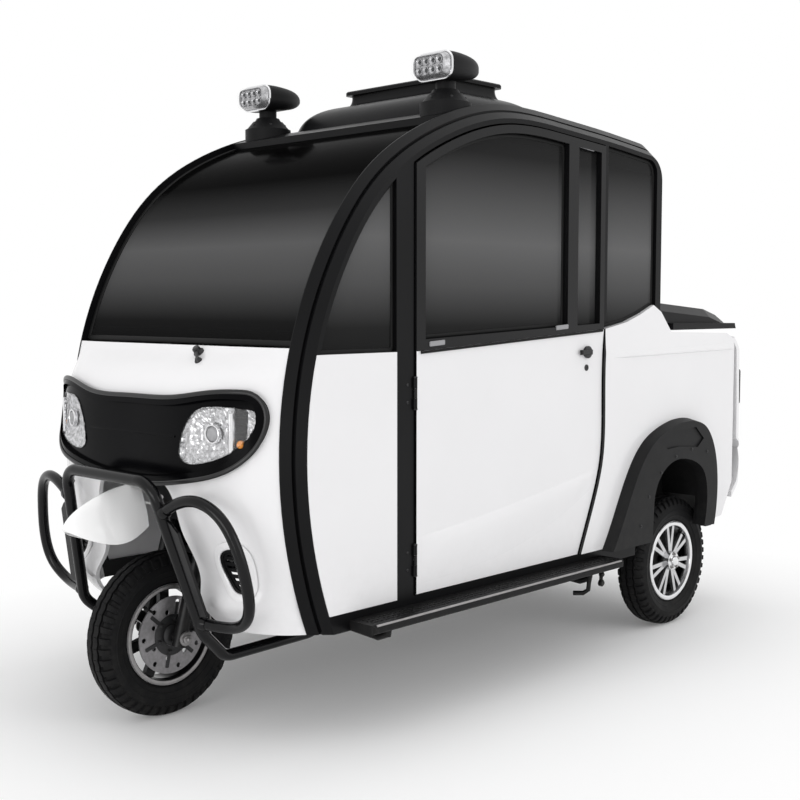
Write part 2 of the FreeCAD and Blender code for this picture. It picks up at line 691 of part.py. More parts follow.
def bed_lid():
    """Black cover of the bed, higher at the cabin."""
    front_y = CABIN_REAR_Y + LID_FRONT_GAP
    top_z = LID_TOP_Z
    foot_z = BED_RIM_Z + 16
    crown_x = BODY_INNER_X - 6
    high = [(front_y, foot_z), (front_y, top_z), (front_y + 32, top_z), (TAIL_Y - 140, top_z - 24),
            (TAIL_Y - 52, top_z - 46), (TAIL_Y - 26, foot_z + 24), (TAIL_Y - 18, foot_z)]
    crown = side_prism(high, -crown_x, crown_x)
    crown = crown.makeChamfer(30, [e for e in crown.Edges if long_top_edge(e)])
    rim = [(front_y + 50, foot_z), (front_y + 50, foot_z + 24), (TAIL_Y - 26, foot_z + 20),
           (TAIL_Y - 18, foot_z)]
    flange = side_prism(rim, -BODY_OUTER_X + 12, BODY_OUTER_X - 12)
    cover = crown.fuse(flange).removeSplitter()
    wall = LID_WALL
    hollow = [(front_y + wall, BED_RIM_Z), (front_y + wall, top_z - wall), (TAIL_Y - 145, top_z - 24 - wall),
              (TAIL_Y - 60 - wall, top_z - 44 - wall), (TAIL_Y - 40 - wall, BED_RIM_Z)]
    cover = cover.cut(side_prism(hollow, -crown_x + 34, crown_x - 34))
    for side in (1, -1):
        x0 = side * LID_HINGE_X - 15
        lug = side_prism([(LID_HINGE_Y, LID_HINGE_Z + LID_HINGE_RADIUS), (LID_HINGE_Y, LID_HINGE_Z - 5),
                          (front_y + 6, top_z - 12), (front_y + 40, top_z - 8),
                          (front_y + 40, top_z + 4)], x0, x0 + 30)
        cover = cover.fuse([lug, along_x(LID_HINGE_RADIUS, x0, x0 + 30, LID_HINGE_Y, LID_HINGE_Z)])
    return cover.removeSplitter()


def long_top_edge(edge):
    """Whether an edge runs along the side of the lid's top."""
    box_of = edge.BoundBox
    return box_of.YLength > 20 and box_of.ZMin > LID_TOP_Z - 50 and box_of.XLength < 1


def tail_profile(inset):
    """Rear face of the vehicle in the side view, with its bumper."""
    y = TAIL_Y - inset
    return [(y - 40, BED_RIM_Z - 14), (y - 8, 975), (y, 790), (y + 3, 640),
            (y + BUMPER_BULGE, 596), (y + 12, 480), (y - 110, BODY_BOTTOM_Z + 9)]


def plan_corner():
    """Plan of the tail with its rounded corners, as a tall prism."""
    wide = BODY_OUTER_X
    back = TAIL_Y + BUMPER_BULGE
    plate = box(-wide, wide, TAIL_Y - 48 + SEAT_GAP, back, 300, 1100)
    corner_edges = [e for e in plate.Edges
                    if e.BoundBox.ZLength > 700 and e.BoundBox.YMin > back - 1]
    return plate.makeFillet(TAIL_CORNER, corner_edges)


def tail_panel():
    outer = tail_profile(0)
    inner = [(y - TAIL_SHELL, z) for y, z in reversed(outer)]
    strip = side_prism(outer + inner, -BODY_OUTER_X, BODY_OUTER_X)
    shoulder = shoulder_cut()
    return strip.common(plan_corner()).cut(shoulder).cut(mirrored(shoulder))


def tail_lamp():
    """Upright lamp on the left corner of the tail."""
    lamp = box(BODY_OUTER_X - 90, BODY_OUTER_X - 12, TAIL_Y - 10, TAIL_Y + 14, 770, 895)
    lamp = lamp.makeFillet(6, [e for e in lamp.Edges if e.BoundBox.YMin > TAIL_Y + 12])
    behind = tail_profile(-SEAT_GAP) + [(TAIL_Y - 200, 361), (TAIL_Y - 200, 1020)]
    return lamp.cut(side_prism(behind, 0, BODY_OUTER_X + 50))


# Roof and rear wall

def roof_panel():
    """Roof sheet from the windscreen header over the rear corner, with the header rail."""
    sheet = cabin_face(2).cut(cabin_face(2 + ROOF_THICKNESS))
    roof = slab(sheet, -FRAME_GAP_X, FRAME_GAP_X)
    roof = roof.common(box(-600, 600, ROOF_HEADER_Y - 1, CABIN_REAR_Y + 5, WALL_TOP_Z, 1800))
    header = slab(cabin_face(2).cut(cabin_face(28)), -FRAME_GAP_X, FRAME_GAP_X)
    header = header.common(box(-600, 600, ROOF_HEADER_Y - HEADER_DEPTH, ROOF_HEADER_Y, 1500, 1800))
    screen_seat = slab(cabin_face(SCREEN_INSET - SEAT_GAP).cut(cabin_face(60)), -600, 600)
    screen_seat = screen_seat.common(box(-600, 600, 0, ROOF_HEADER_Y - 16, 1500, 1800))
    return roof.fuse(header).cut(screen_seat).removeSplitter()


def windscreen():
    """Curved glass between the hoops."""
    sheet = cabin_face(SCREEN_INSET).cut(cabin_face(SCREEN_INSET + GLASS_THICKNESS))
    strip = slab(sheet, -FRAME_GAP_X, FRAME_GAP_X)
    return strip.common(box(-600, 600, -200, ROOF_HEADER_Y - 16 - SEAT_GAP, SCREEN_FOOT_Z, 1800))


def roof_cowl():
    """Domed cowl on the roof with its flared neck and lipped cap."""
    dome = Part.makeLoft([plan_wire(352, 772, 1330, 1660, 90), plan_wire(350, 774, 1328, 1716, 90),
                          plan_wire(328, 800, 1300, 1758, 90), plan_wire(278, 876, 1236, 1792, 80),
                          plan_wire(258, 910, 1214, 1798, 60)], True, False)
    neck = Part.makeLoft([plan_wire(256, 912, 1212, 1790, 30), plan_wire(232, 942, 1184, 1812, 26),
                          plan_wire(228, 946, 1180, 1842, 24)], True, False)
    cap = rounded_plate(240, 932, 1194, 1840, 1854, 20)
    cap = cap.makeChamfer(4, [e for e in cap.Edges if e.BoundBox.ZMin > 1853])
    cowl = dome.fuse([neck, cap]).removeSplitter()
    return cowl.cut(slab(cabin_face(2 - SEAT_GAP), -600, 600))


def lamp_section(y, half_width, half_height, z):
    """Rounded upright section of the roof lamp's head."""
    low_corner = V(ROOF_LAMP_X - half_width, y, z - half_height)
    plate = Part.makeBox(2 * half_width, 1, 2 * half_height, low_corner)
    corner = min(half_width, half_height) * 0.75
    plate = plate.makeFillet(corner, [e for e in plate.Edges if e.BoundBox.YLength > 0.9])
    face = min(plate.Faces, key=lambda f: f.CenterOfMass.y)
    return face.OuterWire


def roof_lamp_housing():
    """Left roof lamp: tapering shell on a stepped foot."""
    x, y, z = ROOF_LAMP_X, ROOF_LAMP_Y, ROOF_LAMP_Z
    shell = Part.makeLoft([lamp_section(y - 48, 70, 40, z), lamp_section(y + 10, 68, 39, z + 2),
                           lamp_section(y + 66, 54, 33, z + 5), lamp_section(y + 110, 32, 22, z + 8),
                           lamp_section(y + 133, 12, 9, z + 9)], True, False)
    neck = Part.makeCylinder(29, 70, V(x, y, 1742))
    collar = Part.makeCone(46, 38, 14, V(x, y, 1746))
    cone = Part.makeCone(72, 50, 26, V(x, y, 1722))
    foot = Part.makeCylinder(76, 62, V(x, y, 1660))
    under = slab(cabin_face(2 - SEAT_GAP), -600, 600)
    return shell.fuse([neck, collar, cone, foot]).cut(under).cut(hoop_side_space()).removeSplitter()


def hoop_side_space():
    """What lies outside the inner face of the left side frame."""
    return box(FRAME_GAP_X, FRAME_OUTER_X + 100, 0, CABIN_REAR_Y, 1500, 1900)


def roof_lamp_lens():
    """Clear front of the left roof lamp, wrapped round its housing."""
    y, z = ROOF_LAMP_Y, ROOF_LAMP_Z
    return Part.makeLoft([lamp_section(y - 91, 46, 26, z - 3), lamp_section(y - 84, 60, 34, z - 2),
                          lamp_section(y - 66, 67, 38.5, z - 1),
                          lamp_section(y - 48 - SEAT_GAP, 70, 40, z)], True, False)


def rear_wall():
    """Cabin rear wall with its window opening and the lid's fixed hinge knuckles."""
    y1 = CABIN_REAR_Y - 2
    wall = box(-FRAME_GAP_X, FRAME_GAP_X, y1 - ROOF_THICKNESS, y1, FLOOR_Z + FLOOR_THICKNESS + SEAT_GAP,
               WALL_TOP_Z - SEAT_GAP)
    wall = wall.cut(rear_window(0, y1 - 40, y1 + 10))
    knuckle = 29.7
    for side in (1, -1):
        for start in (-45, 15.3):
            x0 = side * LID_HINGE_X + start
            lug = box(x0, x0 + knuckle, y1 - 4, LID_HINGE_Y, LID_HINGE_Z - LID_HINGE_RADIUS,
                      LID_HINGE_Z + LID_HINGE_RADIUS)
            barrel = along_x(LID_HINGE_RADIUS, x0, x0 + knuckle, LID_HINGE_Y, LID_HINGE_Z)
            wall = wall.fuse([lug, barrel])
    return wall.cut(wheel_well()).cut(mirrored(wheel_well())).removeSplitter()


def rear_window(inset, y0, y1):
    wide = CABIN_HALF_WIDTH - 80 - inset
    opening = box(-wide, wide, y0, y1, 1190 + inset, 1570 - inset)
    return opening.makeFillet(40, [e for e in opening.Edges if e.BoundBox.YLength > (y1 - y0) * 0.9])


def rear_glass():
    middle = CABIN_REAR_Y - 2 - ROOF_THICKNESS / 2
    half = GLASS_THICKNESS / 2
    return rear_window(SEAT_GAP, middle - half, middle + half)


# Nose

def nose_curve(z, centre_y, outward):
    """Plan curve of the nose at a height, nearly flat in the middle."""
    depth = hoop_front_y(z) + NOSE_SET_BACK - centre_y
    shares = [(0.0, 0.0), (0.56, 0.05), (0.84, 0.36), (1.0, 1.0)]
    right = [(FRAME_GAP_X * a, centre_y + depth * b - outward, z) for a, b in shares]
    left = [(-x, y, h) for x, y, h in reversed(right[1:])]
    return left + right


def nose_solid(outward, back_points):
    """Loft of the nose's plan sections, closed at the back by the points of back_points."""
    wires = []
    for z, centre_y in NOSE_SECTIONS:
        front = nose_curve(z, centre_y, outward)
        back = back_points(z, centre_y)
        if len(back) == 2:
            rear = line(back[0], back[1])
        else:
            rear = spline(back)
        edges = [spline(front), line(front[-1], back[0]), rear, line(back[-1], front[0])]
        wires.append(Part.Wire(edges))
    return Part.makeLoft(wires, True, False)


def nose_shell(outward, inward):
    """Shell along the nose, between two distances from its outer skin."""
    return nose_solid(outward, lambda z, y: list(reversed(nose_curve(z, y, -inward))))


def nose_inside(inward):
    """Everything behind the nose skin, back to an upright plane."""
    back_y = 300
    return nose_solid(-inward, lambda z, y: [(FRAME_GAP_X, back_y, z), (-FRAME_GAP_X, back_y, z)])


def front_prism(points, y0=-300, y1=200):
    """Closed smooth (x, z) outline given depth along y."""
    curve = Part.BSplineCurve()
    curve.interpolate([V(x, y0, z) for x, z in points], True)
    face = Part.Face(Part.Wire(curve.toShape()))
    return face.extrude(V(0, y1 - y0, 0))


def from_corner(points):
    """Points given by their distance in from the cabin's side, as (x, z)."""
    return [(CABIN_HALF_WIDTH - a, z) for a, z in points]


def nose_arch():
    """Opening for the front wheel, as a prism."""
    top_z = 2 * TYRE_RADIUS + 220
    right = [(292, 270), (262, 340), (232, 412), (206, 484), (188, 541), (182, 600), (166, 644),
             (132, top_z - 6), (60, top_z), (0, top_z)]
    left = [(-x, z) for x, z in reversed(right[:-1])]
    curve = spline([(x, -300, z) for x, z in right + left])
    base = line((-292, -300, 270), (292, -300, 270))
    return Part.Face(Part.Wire([curve, base])).extrude(V(0, 520, 0))


def band_points():
    right = from_corner([(63, 918), (31, 903), (17, 868), (19, 825), (34, 784), (68, 746), (125, 717),
                         (195, 700), (290, 684)])
    left = [(-x, z) for x, z in reversed(right)]
    return right + left + [(-200, 898), (0, 893), (200, 898)]


def lamp_points():
    """Outline of the left headlamp in the front view."""
    return from_corner([(258, 760), (250, 800), (231, 839), (197, 874), (146, 884), (57, 879), (35, 870),
                        (37, 835), (58, 797), (96, 766), (155, 743), (209, 734), (247, 742)])


def vent_points():
    """Outline of the left nose vent in the front view."""
    return from_corner([(160, 500), (128, 517), (98, 514), (84, 468), (84, 434), (92, 404), (116, 403),
                        (148, 434), (165, 466)])


def nose_panel():
    shell = nose_shell(0, NOSE_THICKNESS).cut(nose_arch())
    for hole in both(front_prism(lamp_points())) + both(front_prism(vent_points())):
        shell = shell.cut(hole)
    return shell.removeSplitter()


def lamp_band():
    """Black band across the nose, with a raised rim that widens round the headlamps."""
    outline = band_points()
    field = nose_shell(6, -SEAT_GAP).common(front_prism(inset_points(outline, 4)))
    rim = nose_shell(18, -SEAT_GAP).common(front_prism(outline))
    rim = rim.cut(front_prism(inset_points(outline, 15)))
    band = field.fuse(rim)
    for side_lamp in both(front_prism(lamp_points())):
        band = band.cut(side_lamp)
    return band.removeSplitter()


def headlamp():
    lamp = nose_shell(12, HEADLAMP_DEPTH).common(front_prism(inset_points(lamp_points(), SEAT_GAP)))
    return max(lamp.Solids, key=lambda solid: solid.Volume)


def nose_vent():
    """Louvred oval grille of the left side of the nose."""
    points = inset_points(vent_points(), SEAT_GAP)
    plate = nose_shell(-4, 9).common(front_prism(points))
    rim = nose_shell(2, 9).common(front_prism(points)).cut(front_prism(inset_points(points, 6)))
    grille = plate.fuse(rim)
    field = front_prism(inset_points(points, 10))
    low_z = min(z for x, z in points)
    high_z = max(z for x, z in points)
    pitch = 16
    for count in range(int((high_z - low_z) / pitch)):
        z = low_z + 12 + count * pitch
        slot = box(0, CABIN_HALF_WIDTH, -300, 200, z, z + 7)
        grille = grille.cut(slot.common(field))
    return max(grille.Solids, key=lambda solid: solid.Volume)


# Guard bar

def guard_bar():
    """Main hoop with its arms to the frame, and the two side loops, as one welding."""
    arm_y = FRAME_FRONT_Y - 3
    low_z = 212
    right = [(RAIL_X, arm_y, RAIL_BOTTOM_Z + 18), (RAIL_X, 340, low_z), (RAIL_X, 20, low_z - 6),
             (281, -76, 292), (201, -174, 688)]
    left = [(-x, y, z) for x, y, z in right]
    hoop = tube(left + list(reversed(right)), BAR_RADIUS, 64)
    loops = []
    for side in (1, -1):
        loops.append(smooth_tube([(side * 218, -153, 606), (side * 282, -149, 640), (side * 350, -139, 650),
                                  (side * 412, -122, 620), (side * 455, -102, 545), (side * 474, -86, 455),
                                  (side * 460, -68, 372), (side * 405, -56, 328), (side * 335, -66, 318),
                                  (side * 276, -82, 320)], BAR_RADIUS - 1))
    flanges = []
    for side in (1, -1):
        x0 = side * RAIL_X - 30
        flanges.append(box(x0, x0 + 60, arm_y - 4, FRAME_FRONT_Y - SEAT_GAP, RAIL_BOTTOM_Z,
                           RAIL_BOTTOM_Z + 46))
    clear = box(-600, 600, FRAME_FRONT_Y - SEAT_GAP, FRAME_FRONT_Y + 100, 0, 600)
    return hoop.fuse(loops + flanges).cut(clear).removeSplitter()


# Frame and floor

def chassis_frame():
    """Two rails with cross members, jacking pads, neck and head tube."""
    front_y, rear_y = FRAME_FRONT_Y, TAIL_Y - 60
    z0, z1 = RAIL_BOTTOM_Z, RAIL_BOTTOM_Z + RAIL_HEIGHT
    pieces = []
    for side in (1, -1):
        x0 = side * RAIL_X - RAIL_WIDTH / 2
        pieces.append(box(x0, x0 + RAIL_WIDTH, front_y, rear_y, z0, z1))
        foot = V(side * RAIL_X, PAD_Y, z0 - PAD_HEIGHT)
        pieces.append(Part.makeCylinder(PAD_RADIUS, PAD_HEIGHT + 4, foot))
    for y in (front_y, 900, REAR_AXLE_Y - 400, REAR_AXLE_Y - 260, REAR_AXLE_Y + 300):
        half = FRAME_GAP_X if abs(y - REAR_AXLE_Y) > 275 else WHEEL_WELL_X - 2
        pieces.append(box(-half, half, y, y + CROSS_WIDTH, z0 + 8, z1 - 4))
    axis = steer_axis()
    head = Part.makeCylinder(HEAD_TUBE_RADIUS, HEAD_TUBE_LENGTH, steer_point(HEAD_TUBE_START), axis)
    middle = steer_point(HEAD_TUBE_START + HEAD_TUBE_LENGTH * 0.5)
    neck = bar((0, front_y + 10, z0 + 22), (0, middle.y + 8, middle.z), 20)
    frame = pieces[0].fuse(pieces[1:] + [head, neck])
    bore_foot = steer_point(HEAD_TUBE_START - 10)
    bore = Part.makeCylinder(STEM_RADIUS + SEAT_GAP, HEAD_TUBE_LENGTH + 20, bore_foot,
                             axis)
    return frame.cut(bore).removeSplitter()


def floor_pan():
    """Floor sheet with the toe board and the shelf over the front wheel."""
    z = FLOOR_Z
    t = FLOOR_THICKNESS
    rear_y = CABIN_REAR_Y - 2
    top = [(rear_y, z + t), (476, z + t), (272, 606), (262, SHELF_Z), (-60, SHELF_Z)]
    under = [(-60, SHELF_Z - t), (250, SHELF_Z - t), (260, 600), (470, z), (rear_y, z)]
    sheet = side_prism(top + under, -FRAME_GAP_X, FRAME_GAP_X)
    ahead = box(-600, 600, -200, 200, 0, 1000)
    inside = nose_inside(HEADLAMP_DEPTH + SEAT_GAP)
    sheet = sheet.cut(ahead).fuse(sheet.common(inside).common(ahead))
    hole = Part.makeCylinder(STEM_RADIUS + 22, 80, steer_point(500), steer_axis())
    return sheet.cut(hole).cut(wheel_well()).cut(mirrored(wheel_well())).removeSplitter()


def battery_box():
    half = RAIL_X - RAIL_WIDTH / 2 - SEAT_GAP
    return box(-half, half, 950, REAR_AXLE_Y - 420, RAIL_BOTTOM_Z - 110, RAIL_BOTTOM_Z + 7)


def rear_axle():
    """Axle tube with its gear case and motor."""
    reach = REAR_WHEEL_X - REAR_TYRE_WIDTH / 2 - 6
    y, z = REAR_AXLE_Y, TYRE_RADIUS
    beam = along_x(AXLE_RADIUS, -reach, reach, y, z)
    case = Part.makeSphere(78, V(60, y, z)).common(box(-10, 130, y - 90, y + 90, z - 90, z + 90))
    motor = along_x(62, -170, 60, y - 60, z)
    stubs = [bar((side * reach, y, z), (side * (REAR_WHEEL_X + 10), y, z), REAR_STUB_RADIUS)
             for side in (1, -1)]
    return beam.fuse([case, motor] + stubs).removeSplitter()


def leaf_spring():
    """Left leaf spring on the axle, with its eyes under the rail."""
    x0, x1 = RAIL_X - SPRING_WIDTH / 2, RAIL_X + SPRING_WIDTH / 2
    y = REAR_AXLE_Y
    leaves = []
    for count, half in enumerate(LEAF_HALF_LENGTHS):
        low = TYRE_RADIUS + AXLE_RADIUS + SEAT_GAP + LEAF_THICKNESS * count
        high = low + LEAF_THICKNESS + 0.2
        rise = LEAF_RISE * (half / LEAF_HALF_LENGTHS[-1]) ** 2
        under = Part.Arc(V(0, y - half, low + rise), V(0, y, low), V(0, y + half, low + rise)).toShape()
        over = Part.Arc(V(0, y - half, high + rise), V(0, y, high), V(0, y + half, high + rise)).toShape()
        ends = [line((0, y + side * half, low + rise), (0, y + side * half, high + rise))
                for side in (1, -1)]
        face = Part.Face(Part.Wire(Part.__sortEdges__([under, ends[0], over, ends[1]])))
        leaves.append(slab(face, x0, x1))
    eye_z = RAIL_BOTTOM_Z - SEAT_GAP - EYE_RADIUS
    for side in (1, -1):
        leaves.append(along_x(EYE_RADIUS, x0, x1, y + side * LEAF_HALF_LENGTHS[-1], eye_z))
    return leaves[0].fuse(leaves[1:]).removeSplitter()


def running_board():
    """Left step along the sill."""
    x1 = FRAME_OUTER_X + STEP_WIDTH
    z0 = SILL_BOTTOM_Z + 2
    plate = box(FRAME_OUTER_X + SEAT_GAP, x1, 210, DOOR_REAR_Y + 13, z0, z0 + STEP_THICKNESS)
    plate = plate.makeFillet(9, [e for e in plate.Edges if e.BoundBox.XMin > x1 - 10])
    grooves = []
    for count in range(3):
        x = FRAME_OUTER_X + 24 + 16 * count
        grooves.append(box(x, x + 8, 230, DOOR_REAR_Y - 7, z0 + STEP_THICKNESS - 3, z0 + 40))
    return plate.cut(grooves)


# Interior

def dashboard():
    """Board under the windscreen, with a hooded instrument."""
    low_z = SHELF_Z + SEAT_GAP
    half = CABIN_HALF_WIDTH - 40
    profile = [(92, low_z), (150, low_z), (158, 900), (128, 952), (98, 952)]
    board = side_prism(profile, -half, half)
    hood = along_x(38, -110, 110, 128, 946)
    return board.fuse(hood).removeSplitter()


def seat(x_half, front_y, rear_y, back_top_z):
    """Seat base, cushion and back as one padded form."""
    z = FLOOR_Z + FLOOR_THICKNESS + SEAT_GAP
    base = box(-x_half + 30, x_half - 30, front_y + 40, rear_y - 30, z, 560)
    cushion = box(-x_half, x_half, front_y, rear_y, 560, 640)
    cushion = cushion.makeFillet(24, [e for e in cushion.Edges if e.BoundBox.ZMin > 620])
    back = side_prism([(rear_y - 100, 600), (rear_y - 10, 600), (rear_y + 60, back_top_z),
                       (rear_y - 10, back_top_z)], -x_half, x_half)
    back = back.makeFillet(16, [e for e in back.Edges if e.BoundBox.ZMin > back_top_z - 1])
    return base.fuse([cushion, back]).removeSplitter()


# Steering

def steer_axis():
    angle = math.radians(RAKE)
    return V(0, math.sin(angle), math.cos(angle))


def steer_point(distance):
    """Point on the steering axis, measured up from the axle's level."""
    angle = math.radians(RAKE)
    base = V(0, FORK_OFFSET / math.cos(angle), TYRE_RADIUS)
    return base + steer_axis() * distance


def on_yoke(shape):
    """Place a shape drawn square to the yoke's lower face."""
    placed_shape = shape.copy()
    placed_shape.rotate(V(0, 0, 0), V(1, 0, 0), -RAKE)
    placed_shape.translate(steer_point(FORK_LENGTH - YOKE_HEIGHT + 2))
    return placed_shape


def front_fork():
    """Telescopic legs with their sliders and lugs, yoke, stem, axle and brake caliper."""
    axis = steer_axis()
    pieces = []
    for side in (1, -1):
        centre = V(side * FORK_LEG_X, 0, TYRE_RADIUS)
        pieces.append(Part.makeCylinder(SLIDER_RADIUS, SLIDER_LENGTH + 26, centre - axis * 26, axis))
        pieces.append(Part.makeCylinder(TUBE_RADIUS, FORK_LENGTH - 4, centre, axis))
    yoke = on_yoke(box(-FORK_LEG_X - 22, FORK_LEG_X + 22, -48, 22, 0, YOKE_HEIGHT))
    yoke = yoke.makeFillet(8, [e for e in yoke.Edges if abs(e.tangentAt(e.FirstParameter).dot(axis)) > 0.99])
    stem_foot = steer_point(FORK_LENGTH - 10)
    stem = Part.makeCylinder(STEM_RADIUS, STEM_LENGTH - FORK_LENGTH + 10, stem_foot, axis)
    axle = along_x(FRONT_AXLE_RADIUS, -FORK_LEG_X, FORK_LEG_X, 0, TYRE_RADIUS)
    nuts = [along_x(13, side * FORK_LEG_X - 24, side * FORK_LEG_X + 24, 0, TYRE_RADIUS)
            for side in (1, -1)]
    pad_x = HUB_END_X + 5.2
    z = TYRE_RADIUS
    caliper = box(pad_x, pad_x + 24, 52, 108, z + 2, z + 58)
    caliper = caliper.makeFillet(7, [e for e in caliper.Edges if e.BoundBox.XLength > 20])
    bracket = box(FORK_LEG_X - SLIDER_RADIUS + 2, FORK_LEG_X - SLIDER_RADIUS + 10, 12, 70, z + 14, z + 46)
    parts = pieces[1:] + [yoke, stem, axle, caliper, bracket] + nuts
    return pieces[0].fuse(parts).removeSplitter()


def handlebar():
    """Swept bar with its grips, clamped on the stem."""
    centre = steer_point(STEM_LENGTH + 4)
    y, z = centre.y, centre.z
    right = [(60, y + 2, z + 14), (190, y + 40, z + 50), (330, y + 86, z + 36)]
    left = [(-a, b, c) for a, b, c in reversed(right)]
    grips = tube(left + right, GRIP_RADIUS, 30)
    end = V(*right[-1])
    along = (end - V(*right[-2])).normalize()
    sleeves = []
    for mirror_x in (1, -1):
        tip = V(end.x * mirror_x, end.y, end.z)
        back = V(along.x * mirror_x, along.y, along.z)
        sleeves.append(Part.makeCylinder(GRIP_RADIUS + 5, 104, tip - back * 102, back))
    clamp = Part.makeCylinder(24, 48, steer_point(STEM_LENGTH - 24), steer_axis())
    low = steer_point(STEM_LENGTH - 60 + SEAT_GAP)
    bore = Part.makeCylinder(STEM_RADIUS + SEAT_GAP, 60, low, steer_axis())
    return grips.fuse(sleeves + [clamp]).cut(bore).removeSplitter()


def guard_section(y, half_width, low_z, high_z):
    """Arch-shaped section of the mudguard."""
    shares = [(1, 0), (0.86, 0.3), (0.56, 0.64), (0, 1)]
    right = [V(half_width * a, y, low_z + (high_z - low_z) * b) for a, b in shares]
    left = [V(-p.x, y, p.z) for p in reversed(right[:-1])]
    curve = Part.BSplineCurve()
    curve.interpolate(right + left)
    return Part.Wire([curve.toShape(), Part.LineSegment(left[-1], right[0]).toShape()])


def front_mudguard():
    """Shell with a pointed nose over the front wheel, on a tongue from the yoke."""
    wall = 6
    lift = 2 * TYRE_RADIUS - 458
    rear_y = -76
    rows = [(NOSE_TIP_Y, 6, 558, 570), (-294, 22, 549, 583), (-272, 37, 536, 601), (-240, 49, 523, 619),
            (-205, 58, 513, 634), (-150, 61, 512, 650), (rear_y, 50, 544, 658)]
    sections = [(y, half, low + lift, high + lift) for y, half, low, high in rows]
    outer = Part.makeLoft([guard_section(*s) for s in sections], True, False)
    hollow = [(y + 12 if y == NOSE_TIP_Y else y, max(half - wall, 2), low - wall - 2, high - wall - 1)
              for y, half, low, high in sections]
    hollow[-1] = (hollow[-1][0] + 1,) + hollow[-1][1:]
    inner = Part.makeLoft([guard_section(*s) for s in hollow], True, False)
    tongue = on_yoke(box(-30, 30, -306, -STEM_RADIUS - 2, YOKE_HEIGHT + SEAT_GAP, YOKE_HEIGHT + 6))
    behind = tongue.common(box(-40, 40, rear_y, 300, 0, 1000))
    return outer.cut(inner).fuse([tongue.common(outer), behind]).removeSplitter()


# Wheels

def tyre(width):
    """Tyre on the X axis at the origin."""
    half = width / 2
    bead = half * BEAD_SHARE
    top = RIM_RADIUS + 2
    shoulder = TYRE_RADIUS - 22
    profile = [(-bead, top), (-half, (top + TYRE_RADIUS) / 2), (-half * 0.84, shoulder), (0, TYRE_RADIUS),
               (half * 0.84, shoulder), (half, (top + TYRE_RADIUS) / 2), (bead, top)]
    inner = RIM_RADIUS - RIM_DEPTH
    curve = spline([(x, 0, r) for x, r in profile])
    edges = [curve, line((bead, 0, top), (bead, 0, inner)), line((bead, 0, inner), (-bead, 0, inner)),
             line((-bead, 0, inner), (-bead, 0, top))]
    face = Part.Face(Part.Wire(edges))
    return face.revolve(V(0, 0, 0), V(1, 0, 0), 360)


def spoke(face_x, depth, root_turn, tip_turn, outer, half_width):
    """Spoke that leans from one angle at the hub to another at the rim."""
    corners = []
    for radius, turn, half in ((20, root_turn, half_width), (outer - 3, tip_turn, half_width)):
        angle = math.radians(turn)
        out = V(0, math.cos(angle), math.sin(angle))
        across = V(0, -math.sin(angle), math.cos(angle))
        corners.append((out * radius - across * half, out * radius + across * half))
    (a, b), (c, d) = corners
    face = Part.Face(Part.makePolygon([a, b, d, c, a]))
    return slab(face, face_x - depth, face_x)


def rim(width, face_x, spread, bore, spoke_half):
    """Rim on the X axis; its spokes end at face_x, in pairs if spread isn't zero."""
    half = width / 2 * BEAD_SHARE + SEAT_GAP
    outer = RIM_RADIUS - RIM_DEPTH - SEAT_GAP
    inner = outer - RIM_WALL
    lip = half + LIP_WIDTH
    profile = [(-lip, inner + 4), (-lip, RIM_RADIUS), (-half, RIM_RADIUS), (-half, outer), (half, outer),
               (half, RIM_RADIUS), (lip, RIM_RADIUS), (lip, inner + 4), (half - 8, inner),
               (-half + 8, inner)]
    corners = [V(x, 0, r) for x, r in profile]
    ring = Part.Face(Part.makePolygon(corners + corners[:1])).revolve(V(0, 0, 0), V(1, 0, 0), 360)
    pieces = [along_x(HUB_RADIUS, -half - HUB_PROUD, half + HUB_PROUD, 0, 0)]
    leans = [(0, 0)] if spread == 0 else [(-3, -spread), (3, spread)]
    for step in range(SPOKES):
        turn = 90 + step * 360.0 / SPOKES
        for root, tip in leans:
            pieces.append(spoke(face_x, 16, turn + root, turn + tip, inner + 3, spoke_half))
    wheel = ring.fuse(pieces)
    return wheel.cut(along_x(bore, -200, 200, 0, 0)).removeSplitter()


def brake_disc():
    """Drilled disc on the left end of the front hub."""
    x0 = HUB_END_X - DISC_THICKNESS
    disc = along_x(DISC_RADIUS, x0, HUB_END_X, 0, 0).cut(along_x(DISC_BORE, x0 - 1, HUB_END_X + 1, 0, 0))
    holes = []
    for step in range(14):
        angle = math.radians(step * 360.0 / 14)
        radius = 66 + 26 * (step % 2)
        holes.append(along_x(7, x0 - 1, HUB_END_X + 1, radius * math.cos(angle), radius * math.sin(angle)))
    return disc.cut(holes)


def placed(shape, x, y):
    moved = shape.copy()
    moved.translate(V(x, y, TYRE_RADIUS))
    return moved


